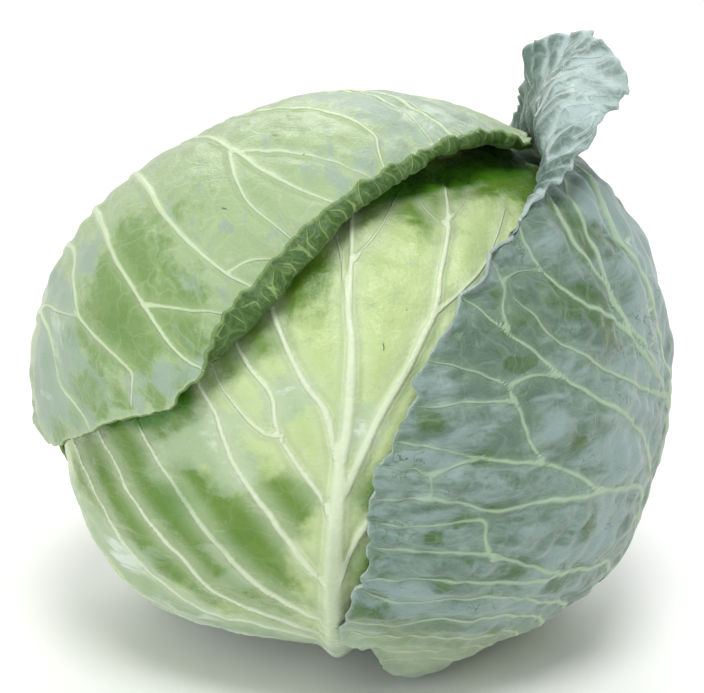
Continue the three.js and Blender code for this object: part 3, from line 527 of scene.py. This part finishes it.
def leaf_material(name, blade, deep, vein, bloom, foot, wear, wax, rubbed, low, gloss, net, halo, lip, sheen,
                  seed, keel=0.0, specks=()):
    """A cabbage leaf: a green blade that deepens in patches, pale veins with a finer net between them, a thin
    blue-grey wax bloom that is rubbed off here and there, and a paler, thicker foot.

    blade, deep, vein, bloom and foot are colours. wear says where in their noise the deeper patches begin
    and end, and how ragged they are; wax, where the bloom begins and ends, and its least and most cover.
    rubbed is how far the deeper patches and the hair cracks break the bloom, low the heights between which
    the foot fades and its strength, gloss the roughness of bare skin and net the strength of the small
    veins. halo is the strength and reach of a vein's pale border, keel the strength of painted shade in the
    midrib's hollow, drawn in the bloom colour, lip the paleness of the margin and sheen the soft scatter of
    the wax. specks are x, y and radius. Painted shade also darkens the creases beside the veins and, where
    the tones go well past 1, the blade under the cap leaf's hem; where the bloom is thickest it whitens to
    the foot colour, which also paints highlights."""
    material, t = new_material(name)
    blade, deep, vein, bloom, foot = [linear(shade) for shade in (blade, deep, vein, bloom, foot)]
    uv = node(t, "UVMap", {}, uv_map="flat")
    flat = node(t, VECTOR, {0: uv, 1: (FLAT_SIZE, FLAT_SIZE, 0)}, operation="MULTIPLY")
    corner = (seed * 37.0, seed * 91.0, 0)  # each material reads its own stretch of every noise
    place = node(t, VECTOR, {0: flat, 1: corner}, operation="ADD")
    height = node(t, PARTS, {0: flat}, 1)
    fields = [node(t, ATTRIBUTE, {}, 1, attribute_name=title) for title in ("veins", "joins", "tones")]
    (signed, plain, width), (joined, ridge, _), (greener_and_shade, bloomier_and_glare, margin) = [
        node(t, PARTS, {0: field}, None).outputs for field in fields]

    # veins: distance from the middle line over the half width; where two veins join, the ridge they share
    far = node(t, RAMP, {0: plain, 1: 1.3, 2: 1.9}, **SOFT)
    far = node(t, MATH, {0: far, 1: joined}, operation="MAXIMUM")
    near = node(t, MATH, {0: signed}, operation="ABSOLUTE")
    line = node(t, MIX, {0: far, 2: near, 3: plain})
    share = node(t, MATH, {0: line, 1: width}, operation="DIVIDE")
    alone = node(t, RAMP, {0: share, 1: 0.15, 2: 0.75, 3: 1.0, 4: 0.0}, **SOFT)
    together = node(t, RAMP, {0: ridge, 1: 0.55, 2: 0.88}, **SOFT)
    rib = node(t, MIX, {0: joined, 2: alone, 3: together})
    # beside a vein: its pale border, and painted shade in the crease that it rises from
    beside = node(t, MATH, {0: line, 1: width}, operation="SUBTRACT")
    border = node(t, RAMP, {0: beside, 1: -0.8, 2: halo[1], 3: halo[0], 4: 0.0}, **SOFT)
    crease_shade = node(t, RAMP, {0: beside, 1: 0.4, 2: 2.6, 3: 0.30, 4: 0.0}, **SOFT)
    crease_shade_start = node(t, RAMP, {0: beside, 1: -0.4, 2: 0.2}, **SOFT)
    crease_shade = node(t, MATH, {0: crease_shade_start, 1: crease_shade}, operation="MULTIPLY")
    # painted shade in the hollow along a broad midrib, drawn in the bloom colour
    broad = node(t, RAMP, {0: width, 1: 2.6, 2: 3.6}, **SOFT)
    hollow = node(t, RAMP, {0: share, 1: 0.05, 2: 0.5, 3: keel, 4: 0.0}, **SOFT)
    hollow = node(t, MATH, {0: broad, 1: hollow}, operation="MULTIPLY")

    # the nets between the veins, pulled out of shape
    pull = node(t, NOISE, {"Vector": place, "Scale": PULLS, "Detail": 2.0}, 1)
    pull = node(t, VECTOR, {0: pull, 1: (NET_PULL, NET_PULL, 0)}, operation="MULTIPLY")
    bent = node(t, VECTOR, {0: place, 1: pull}, operation="ADD")
    coarse = node(t, CELLS, {"Vector": bent, "Scale": 1 / NET_CELL}, feature="DISTANCE_TO_EDGE")
    coarse = node(t, RAMP, {0: coarse, 2: 0.06, 3: net, 4: 0.0}, **SOFT)
    fine = node(t, CELLS, {"Vector": bent, "Scale": 1 / FINE_CELL}, feature="DISTANCE_TO_EDGE")
    fine = node(t, RAMP, {0: fine, 2: 0.13, 3: net * 0.5, 4: 0.0}, **SOFT)

    # patches of deeper green and of bloom, with ragged edges; where the tones go well past 1, painted shade
    ragged = node(t, NOISE, {"Vector": place, "Scale": PATCHES, "Detail": 8.0, "Roughness": 0.66})
    ragged = node(t, MATH, {0: ragged, 1: wear[2], 2: 0.5 - 0.5 * wear[2]}, operation="MULTIPLY_ADD")
    deepen_and_shade = node(t, MATH, {0: greener_and_shade, 1: 0.4, 2: ragged}, operation="MULTIPLY_ADD")
    deepen_and_shade = node(t, RAMP, {0: deepen_and_shade, 1: wear[0], 2: wear[1]}, **SOFT)
    # painted shade under the cap leaf's hem, from tones well past 1
    painted_shade = node(t, RAMP, {0: greener_and_shade, 1: 1.1, 2: 2.6}, **SOFT)
    streaks = node(t, VECTOR, {0: place, 1: STREAKS}, operation="MULTIPLY")
    streaks = node(t, NOISE, {"Vector": streaks, "Scale": 1.0, "Detail": 9.0, "Roughness": 0.68,
                              "Distortion": 0.4})
    waxy = node(t, MATH, {0: bloomier_and_glare, 1: 0.35, 2: streaks}, operation="MULTIPLY_ADD")
    # where the bloom is thickest it whitens to the foot colour, which also paints highlights
    thickest_and_glare = node(t, RAMP, {0: waxy, 1: 0.86, 2: 1.02, 4: 0.8}, **SOFT)
    bloomed = node(t, RAMP, {0: waxy, 1: wax[0], 2: wax[1], 3: wax[2], 4: wax[3]}, **SOFT)
    spared = node(t, MATH, {0: deepen_and_shade, 1: -rubbed, 2: 1.0}, operation="MULTIPLY_ADD")
    bloomed = node(t, MATH, {0: bloomed, 1: spared}, operation="MULTIPLY")
    # hair cracks where the wax has broken: the contour of one noise, in the patches of another
    crack = node(t, NOISE, {"Vector": place, "Scale": CRACKS, "Detail": 4.0, "Roughness": 0.5})
    crack = node(t, MATH, {0: crack, 1: 0.5}, operation="SUBTRACT")
    crack = node(t, MATH, {0: crack}, operation="ABSOLUTE")
    crack = node(t, RAMP, {0: crack, 2: 0.014, 3: 1.0, 4: 0.0}, **SOFT)
    broken = node(t, NOISE, {"Vector": bent, "Scale": CRACKED_PATCHES, "Detail": 2.0})
    broken = node(t, RAMP, {0: broken, 1: 0.53, 2: 0.60, 4: rubbed}, **SOFT)
    crack = node(t, MATH, {0: crack, 1: broken}, operation="MULTIPLY")

    # the colour, coat over coat: how much each covers, and its shade
    at_foot = node(t, RAMP, {0: height, 1: low[0], 2: low[1], 3: low[2], 4: 0.0}, **SOFT)
    at_margin = node(t, RAMP, {0: margin, 1: 0.2, 2: 1.3, 3: lip, 4: 0.0}, **SOFT)
    paint = node(t, RAMP, {0: width, 1: 0.5, 2: 1.3, 3: 0.45, 4: 0.9}, **SOFT)
    paint = node(t, MATH, {0: rib, 1: paint}, operation="MULTIPLY")
    pale = node(t, RAMP, {0: height, 1: low[0], 2: low[1] + 14, 3: 1.0, 4: 0.0}, **SOFT)
    pale = node(t, MIX, {0: pale, 6: vein, 7: foot}, 2, data_type="RGBA")
    # the crease and hollow coats and the last fixed coat are painted shade; the thickest coat also paints
    # highlights
    coats = [(deepen_and_shade, deep), (fine, vein), (coarse, vein), (crease_shade, deep), (bloomed, bloom), (crack, deep),
             (thickest_and_glare, foot), (at_foot, foot), (border, pale), (paint, pale), (hollow, bloom),
             (at_margin, vein), (painted_shade, linear(UNDER_HEM_SHADE))]
    for x, y, radius in specks:
        middle = (x + corner[0] + SPECK_SHIFT, y + corner[1] + SPECK_SHIFT, 0)
        speck = node(t, VECTOR, {0: bent, 1: middle}, 1, operation="DISTANCE")
        speck = node(t, RAMP, {0: speck, 1: radius * 0.5, 2: radius * 1.2, 3: 0.8, 4: 0.0}, **SOFT)
        coats.append((speck, linear(SPECK_BROWN)))
    colour = blade
    for cover, shade in coats:
        colour = node(t, MIX, {0: cover, 6: colour, 7: shade}, 2, data_type="RGBA")

    # bloom dulls the skin; grain, nets and ribs stand up from it
    rough = node(t, MATH, {0: bloomed, 1: 0.18, 2: gloss}, operation="MULTIPLY_ADD")
    grain = node(t, NOISE, {"Vector": place, "Scale": GRAINS, "Detail": 5.0, "Roughness": 0.6})
    relief = node(t, MATH, {0: grain, 1: 0.8}, operation="MULTIPLY")
    for raised, amount in ((coarse, 1.0), (fine, 1.2), (rib, 1.0)):
        relief = node(t, MATH, {0: raised, 1: amount, 2: relief}, operation="MULTIPLY_ADD")
    bump = node(t, "Bump", {"Strength": 0.8, "Distance": LEAF_BUMP * MM, "Height": relief})
    surface = node(t, "BsdfPrincipled", {
        "Base Color": colour, "Roughness": rough, "Normal": bump, "IOR": PLANT_IOR, "Sheen Weight": sheen,
        "Sheen Roughness": 0.5})
    node(t, "OutputMaterial", {"Surface": surface}, None)
    return material


def flesh_material(name, pale, green):
    """Firm pale cabbage flesh: cream that turns green in drifts, with faint ribs and a moist skin."""
    material, t = new_material(name)
    spot = node(t, "TexCoord", {}, 3)
    drift = node(t, NOISE, {"Vector": spot, "Scale": FLESH_DRIFTS, "Detail": 6.0, "Roughness": 0.6,
                            "Distortion": 0.6})
    tint = node(t, RAMP, {0: drift, 1: 0.35, 2: 0.65}, **SOFT)
    colour = node(t, MIX, {0: tint, 6: linear(pale), 7: linear(green)}, 2, data_type="RGBA")
    net = node(t, CELLS, {"Vector": spot, "Scale": FLESH_CELLS}, feature="DISTANCE_TO_EDGE")
    net = node(t, RAMP, {0: net, 2: 0.09, 3: 0.35, 4: 0.0})
    colour = node(t, MIX, {0: net, 6: colour, 7: linear(FLESH_RIB)}, 2, data_type="RGBA")
    bump = node(t, "Bump", {"Strength": 0.5, "Distance": FLESH_BUMP * MM, "Height": drift})
    surface = node(t, "BsdfPrincipled", {
        "Base Color": colour, "Roughness": 0.4, "Normal": bump, "IOR": PLANT_IOR})
    node(t, "OutputMaterial", {"Surface": surface}, None)
    return material


# -------- pieces

def deselect():
    for o in bpy.context.selected_objects:
        o.select_set(False)


def coordinates(piece):
    """The piece's points, one to a row."""
    listed = np.empty(len(piece.data.vertices) * 3)
    piece.data.vertices.foreach_get("co", listed)
    return listed.reshape(-1, 3)


def stand_in(piece, replaced):
    """Shades a finished piece smooth and puts it in the place of a CAD piece."""
    piece.data.polygons.foreach_set("use_smooth", np.ones(len(piece.data.polygons), bool))
    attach(piece, "root")
    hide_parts(replaced)


def settle(piece, points, material, replaced):
    """Gives a closed primitive its final points and material, and puts it in the place of a CAD piece."""
    piece.data.name = piece.name
    piece.data.vertices.foreach_set("co", (points * MM).ravel())
    piece.data.update()
    piece.data.materials.append(material)
    stand_in(piece, replaced)


def spline(points, step):
    """Points about step apart on a smooth curve through the given ones, with their tangents and share of the
    way."""
    p = np.array(points, float)
    p = np.vstack([2 * p[0] - p[1], p, 2 * p[-1] - p[-2]])
    made, tangents = [], []
    for i in range(1, len(p) - 2):
        n = max(2, int(np.linalg.norm(p[i + 1] - p[i]) / step))
        t = np.arange(n)[:, None] / n
        a = (p[i + 1] - p[i - 1]) / 2
        b = (p[i + 2] - p[i]) / 2
        made.append(hermite(t, p[i], a, p[i + 1], b))
        tangents.append((6 * t ** 2 - 6 * t) * (p[i] - p[i + 1]) + (3 * t ** 2 - 4 * t + 1) * a
                        + (3 * t ** 2 - 2 * t) * b)
    q, g = np.vstack(made + [p[-2:-1]]), np.vstack(tangents + [(p[-1:] - p[-3:-2]) / 2])
    return q, unit(g), np.linspace(0, 1, len(q))


def vein_field(flat, veins):
    """For each flat point: signed distance to the nearest vein, plain distance, that vein's half width,
    relief, how nearly a second vein is as close, and a ridge that is 1 along every vein."""
    best, second = np.full(len(flat), 1e9), np.full(len(flat), 1e9)
    signed, plain, width = np.zeros(len(flat)), np.full(len(flat), 99.0), np.ones(len(flat))
    relief, ridge = np.zeros(len(flat)), np.zeros(len(flat))
    for w0, w1, h0, h1, points in veins:
        q, tangent, share = spline(points, SAMPLE_STEP)
        low, high = q.min(0) - VEIN_REACH, q.max(0) + VEIN_REACH
        inside = np.where(np.all((flat > low) & (flat < high), axis=1))[0]
        if not len(inside):
            continue
        f = flat[inside]
        far = np.empty(len(f))
        at = np.empty(len(f), int)
        for start in range(0, len(f), POINT_BATCH):
            part = slice(start, start + POINT_BATCH)
            gap = np.linalg.norm(f[part, None] - q[None], axis=2)
            at[part] = gap.argmin(1)
            far[part] = gap.min(1)
        offset = f - q[at]
        across = tangent[at, 0] * offset[:, 1] - tangent[at, 1] * offset[:, 0]
        ends = (at == 0) | (at == len(q) - 1)
        d = np.where(ends, far, np.abs(across))
        w = w0 + (w1 - w0) * share[at]
        h = h0 + (h1 - h0) * share[at]
        # a rib has fallen to about a quarter of its height at its half width
        crest = np.exp(-1.3 * (d / np.maximum(w, LEAST_RIB)) ** 2)
        relief[inside] = np.maximum(relief[inside], h * crest)
        ridge[inside] = np.maximum(ridge[inside], crest)
        won = (d - w) < best[inside]
        second[inside] = np.minimum(second[inside], np.where(won, best[inside], d - w))
        chosen = inside[won]
        best[chosen] = (d - w)[won]
        signed[chosen] = (d * np.where(across < 0, -1, 1))[won]
        plain[chosen], width[chosen] = d[won], w[won]
    return signed, plain, width, relief, smooth(2.5, 0.8, second - best), ridge


def hem_pleats(leaf, flat, degrees):
    """Uneven pleats that run out across a hem, 1 at their crests and -1 between them."""
    # they wander along the hem, and are deeper in some places than in others
    phase = np.radians(PLEATS / 2 * degrees) + 1.2 * waves(flat, 36, leaf.seed + 5)
    depth = np.clip(0.9 + 0.3 * waves(flat, 22, leaf.seed + 6), 0.4, 1.3)
    return (1 - 2 * np.abs(np.sin(phase))) * depth


def leaf_piece(name, replaced, leaf, materials):
    """A leaf from a flat grid: laid out in the leaf's outline, draped on the head, then given its thickness.
    The materials are for its outer face, its inner face and its edge."""
    deselect()
    bpy.ops.mesh.primitive_grid_add(x_subdivisions=LEAF_CELLS, y_subdivisions=LEAF_CELLS, size=2)
    piece = bpy.context.object
    piece.name = name
    mesh = piece.data
    mesh.name = name
    # the square grid as a disc, then as the leaf with its ragged margin
    u, v = coordinates(piece)[:, :2].T
    dx, dy = u * np.sqrt(1 - v * v / 2), v * np.sqrt(1 - u * u / 2)
    angle = np.arctan2(dx, dy)
    degrees = np.degrees(angle)
    outline = around(leaf.outline, degrees)
    on_rim = np.stack(polar(outline, angle), -1)
    ragged = 1.2 * waves(on_rim, 10, leaf.seed) + 0.6 * waves(on_rim, 4, leaf.seed + 1)
    rim = outline + leaf.fray * ragged
    rho = np.hypot(dx, dy) * rim
    flat = np.stack(polar(rho, angle), -1)
    margin = rim - rho
    signed, plain, width, relief, joined, ridge = vein_field(flat, leaf.veins)

    # hem rises from 0 to 1 past the hem line, and wide where the hem is broad enough to be pleated
    hem_width = around(leaf.hem, degrees)
    past = rho - outline + hem_width
    hem, wide = smooth(0, 5, past), smooth(4.5, 11, hem_width)
    pleat = hem_pleats(leaf, flat, degrees) * (leaf.crimp * hem * wide)
    # ribs, the swelling between them on the blade and on the hem, pleats, unevenness and the frayed margin
    height = (relief * smooth(0, 6, margin) + leaf.pucker * (1 - hem) * (1 - np.exp(-(plain / 5) ** 2))
              + 0.6 * leaf.crimp * hem * (1 - np.exp(-(plain / 2) ** 2)) + 0.5 * pleat
              + leaf.pucker * (0.25 * waves(flat, 20, leaf.seed + 2) + 0.14 * waves(flat, 7, leaf.seed + 3))
              + leaf.fray * waves(on_rim, 14, leaf.seed + 4) * smooth(9, 0, margin))
    points = leaf.place(flat[:, 0], flat[:, 1], height)
    mesh.vertices.foreach_set("co", (points * MM).ravel())

    # what the materials read: greener and bloomier patches, with painted shade and highlights among them, and
    # the way to the margin, and the veins
    tones = np.zeros((len(flat), 3))
    for x, y, radius, deeper, bloomed in leaf.tones:
        near = np.exp(-((flat[:, 0] - x) ** 2 + (flat[:, 1] - y) ** 2) / radius ** 2)
        tones[:, 0] += deeper * near
        tones[:, 1] += bloomed * near
    # pleats: crests bloomier and hollows greener, which also paints their light and shade; and a band of
    # bloom along the hem's turn that paints a highlight on its crest
    tones[:, 0] -= 0.3 * pleat
    tones[:, 1] += 0.5 * pleat + 1.1 * wide * np.exp(-((past - 1) / 2.5) ** 2)
    tones[:, 2] = margin
    fields = {"veins": (signed, plain, width), "tones": tones.T, "joins": (joined, ridge, 0 * ridge)}
    for title, values in fields.items():
        field = mesh.attributes.new(title, "FLOAT_VECTOR", "POINT")
        field.data.foreach_set("vector", np.stack(values, -1).ravel())
    loops = np.empty(len(mesh.loops), int)
    mesh.loops.foreach_get("vertex_index", loops)
    layer = mesh.uv_layers[0] if mesh.uv_layers else mesh.uv_layers.new()
    layer.name = "flat"
    layer.data.foreach_set("uv", (flat[loops] / FLAT_SIZE).ravel())
    mesh.update()

    for m in materials:
        mesh.materials.append(m)
    thick = piece.modifiers.new("thickness", "SOLIDIFY")
    thick.thickness = LEAF_THICKNESS * MM
    thick.offset = 1.0
    thick.material_offset = 1
    thick.material_offset_rim = 2
    bpy.context.view_layer.objects.active = piece
    bpy.ops.object.modifier_apply(modifier=thick.name)
    stand_in(piece, replaced)


def add_ball(name, segments, rings):
    deselect()
    bpy.ops.mesh.primitive_uv_sphere_add(segments=segments, ring_count=rings, radius=1)
    bpy.context.object.name = name
    return bpy.context.object


def heart_piece(material):
    """The heart: the ball under the leaves, with the margins of its own folded leaves and their ribs."""
    piece = add_ball("heart_ball", 300, 180)
    d = unit(coordinates(piece))
    spot, poles = d * HEART_RADIUS, np.abs(d[:, 2])
    azimuth = np.degrees(np.arctan2(d[:, 0], -d[:, 1]))
    # margins slant round the heart: each leaf sinks slowly and the next one starts with a step up
    slanted = azimuth + HEART_FOLD_START + HEART_FOLD_SLANT * d[:, 2]
    turn = (slanted + 2.5 * waves(spot, 30, 21)) * HEART_FOLDS / 360 % 1
    step = np.minimum(turn / (1 - HEART_FOLD_RISE), (1 - turn) / HEART_FOLD_RISE)
    # ribs fan up from the base of each leaf, a middle one and three at either side
    fold_width = 360 / HEART_FOLDS
    spread = np.abs((turn * fold_width - fold_width / 2) / (0.25 + np.clip(d[:, 2] + 1, 0, 1.2)))
    ribs = sum(np.exp(-((spread - k) / 2.0) ** 2) for k in HEART_FOLD_RIBS) * smooth(0.97, 0.7, poles)
    height = (-HEART_GAP - HEART_FOLD_STEP * (1 - step) * smooth(0.99, 0.8, poles)
              + 0.35 * ribs + 0.2 * waves(spot, 12, 22) - HEART_SINK)
    settle(piece, CENTRE + d * (ball_radius(d) + height)[:, None], material, "heart")


def stem_piece(material):
    """The stub of the stem: fluted flesh over a flat cut with its rings of fibres."""
    piece = add_ball("stem_stub", 192, 96)
    d = coordinates(piece)
    share = np.clip(np.arccos(np.clip(-d[:, 2], -1, 1)) / np.pi, 0, 1)
    top = CENTRE[2] - float(ball_radius(np.array([[0, 0, -1.0]]))[0]) + HEART_GAP - STEM_TOP_GAP
    # profile: share of the way from the middle of the cut to the middle of the top, radius, height
    way, radius, z = np.array([(0, 0, 0), (0.30, 13.6, 0), (0.36, 14.1, 0.7), (0.46, 14.5, 3.2),
                               (0.62, 14.1, top - 3), (0.72, 12.9, top - 2.1), (0.86, 7.2, top - 0.8),
                               (1, 0, top)]).T
    angle = np.arctan2(d[:, 1], d[:, 0])
    # three and five soft lobes and 31 fine flutes; on the cut, rings of fibres 2.6 mm apart
    r = np.interp(share, way, radius) * (1 + 0.03 * np.sin(3 * angle + 0.6) + 0.018 * np.sin(5 * angle)
                                         + 0.008 * np.sin(31 * angle))
    height = np.interp(share, way, z) + 0.12 * (1 + np.sin(r * 2.4)) * (r < CUT_RADIUS) * (share < 0.3)
    settle(piece, np.stack([r * np.cos(angle), r * np.sin(angle), height], -1), material, "stem")


# -------- the scene

CAMERA_TARGET = Vector((0.6, 0, 88.0)) * MM
CAMERA_DISTANCE = 720 * MM
CAMERA_ELEVATION = 18.0
CAMERA_LENS, CAMERA_SENSOR = 123.0, 36
LIGHTS_TARGET = Vector((0, 0, 0.08))
ROOM_BRIGHTNESS = 0.55


def add_facing(name, data, target, azimuth, elevation, distance):
    """Adds a camera or a lamp that looks at its target from that side and distance."""
    made = bpy.data.objects.new(name, data)
    bpy.context.scene.collection.objects.link(made)
    back = Vector(toward(azimuth, elevation))
    made.location = target + back * distance
    made.rotation_euler = back.to_track_quat("Z", "Y").to_euler()
    return made


def add_camera():
    data = bpy.data.cameras.new("camera")
    data.lens = CAMERA_LENS
    data.sensor_width = CAMERA_SENSOR
    bpy.context.scene.camera = add_facing("camera", data, CAMERA_TARGET, 0, CAMERA_ELEVATION, CAMERA_DISTANCE)


def add_light(name, azimuth, elevation, distance, size, power, colour):
    """A round panel that faces the head; distance and size in metres, power in watts."""
    data = bpy.data.lights.new(name, "AREA")
    data.shape = "DISK"
    data.size = size
    data.energy = power
    data.color = linear(colour)[:3]
    add_facing(name, data, LIGHTS_TARGET, azimuth, elevation, distance)


def add_stage():
    """A white paper floor, a white room and three panels of light."""
    deselect()
    bpy.ops.mesh.primitive_plane_add(size=8)
    floor = bpy.context.object
    floor.name = "floor"
    # paper scatters light evenly and has no gleam, so it takes only a soft shadow
    material, t = new_material("matt white paper sweep")
    surface = node(t, "BsdfPrincipled", {"Base Color": linear("#F6F6F4"), "Roughness": 0.9})
    node(t, "OutputMaterial", {"Surface": surface}, None)
    floor.data.materials.append(material)
    world = bpy.data.worlds.new("soft white room")
    bpy.context.scene.world = world
    world.use_nodes = True
    background = world.node_tree.nodes["Background"]
    background.inputs[0].default_value = linear("#FFFFFF")
    background.inputs[1].default_value = ROOM_BRIGHTNESS
    add_light("overhead_panel", azimuth=5, elevation=66, distance=1.6, size=0.7, power=15, colour="#FFFFFF")
    add_light("side_window", azimuth=-56, elevation=12, distance=1.4, size=0.5, power=3.5, colour="#F8FBFF")
    add_light("backdrop_panel", azimuth=180, elevation=40, distance=2.6, size=2.0, power=30, colour="#FFFFFF")
    bpy.context.scene.view_settings.view_transform = "Standard"


add_camera()
add_stage()

# the youngest of the three leaves: yellow-green and a little glossy, its wax so thin that it only pales the
# skin in patches, with broad cream ribs; some pale patches are painted highlights, and painted shade darkens
# it under the cap leaf's hem and in the midrib's hollow
front_outer = leaf_material(
    "young cabbage leaf, thin wax", blade="#B7CC8C", deep="#5F8424", vein="#D6E3C4", bloom="#9BB28F",
    foot="#D8E4DC", wear=(0.53, 0.76, 0.45), wax=(0.54, 0.74, 0.0, 0.8), rubbed=0.2, low=(-112, -56, 1.0),
    gloss=0.26, net=0.05, halo=(0.36, 6.5), keel=0.5, lip=0.3, sheen=0.05,
    specks=[(2, 29, 0.35), (10, 40, 0.3)], seed=1)
# an outer leaf handled on its way: mid green where the bloom is rubbed off, greyed where it is left, satin
cap_outer = leaf_material(
    "green cabbage leaf, rubbed wax bloom", blade="#9BB182", deep="#749250", vein="#C6D8AF", bloom="#91A694",
    foot="#B9CBB6", wear=(0.62, 0.82, 0.8), wax=(0.53, 0.67, 0.0, 0.85), rubbed=0.3, low=(-150, -60, 0.6),
    gloss=0.34, net=0.14, halo=(0.20, 4.5), keel=0.2, lip=0.3, sheen=0.2,
    specks=[(78, 66, 0.6), (52, 88, 0.5)], seed=2)
# the outermost leaf: its full bloom makes it slate blue and matt, with dark green showing through scuffs and
# hair cracks in the wax
right_outer = leaf_material(
    "blue-green cabbage leaf, full wax bloom", blade="#48664F", deep="#3C5F2C", vein="#A3BE9C",
    bloom="#889F9B", foot="#C9DDB2", wear=(0.66, 0.80, 1.5), wax=(0.36, 0.66, 0.15, 1.0), rubbed=0.8,
    low=(-76, -50, 0.45), gloss=0.38, net=0.15, halo=(0.14, 3.8), lip=0.15, sheen=0.35,
    seed=3)
# the upper face of a green leaf: deep green and bare between a strong net of pale veins
inner_face = leaf_material(
    "cabbage leaf, inner face", blade="#365816", deep="#2A4A13", vein="#90AE6B", bloom="#7E9B72",
    foot="#C8D8C0", wear=(0.50, 0.80, 1.2), wax=(0.60, 0.80, 0.0, 0.5), rubbed=0.2, low=(-150, -60, 0.6),
    gloss=0.38, net=0.25, halo=(0.12, 2.5), lip=0.5, sheen=0.0, seed=4)
# the upper face of the outermost leaf: silvery with bloom, paler on the crests of its wrinkles and greener
# between, which also paints their light and shade
right_inner = leaf_material(
    "bloomed cabbage leaf, inner face", blade="#647C74", deep="#4E685C", vein="#C2D3CE", bloom="#ADC1BE",
    foot="#C8D8C0", wear=(0.54, 0.80, 1.2), wax=(0.36, 0.72, 0.0, 0.95), rubbed=0.3, low=(-150, -60, 0.6),
    gloss=0.42, net=0.25, halo=(0.16, 2.5), lip=0.3, sheen=0.35, seed=5)
# blanched leaves that no light has reached: cream and pale green, with a moist gleam
heart_flesh = flesh_material("pale folded cabbage heart, moist", "#E3EBC4", "#C3D99A")
# cut across the grain: dry cream flesh with a tinge of green
stem_flesh = flesh_material("cut cabbage stem, fibrous", "#E8E9CF", "#CBD8A6")

leaf_piece("front_leaf_blade", "front_leaf", FRONT_LEAF, [front_outer, inner_face, inner_face])
leaf_piece("cap_leaf_blade", "cap_leaf", CAP_LEAF, [cap_outer, inner_face, inner_face])
leaf_piece("right_leaf_blade", "right_leaf", RIGHT_LEAF, [right_outer, right_inner, right_inner])
heart_piece(heart_flesh)
stem_piece(stem_flesh)
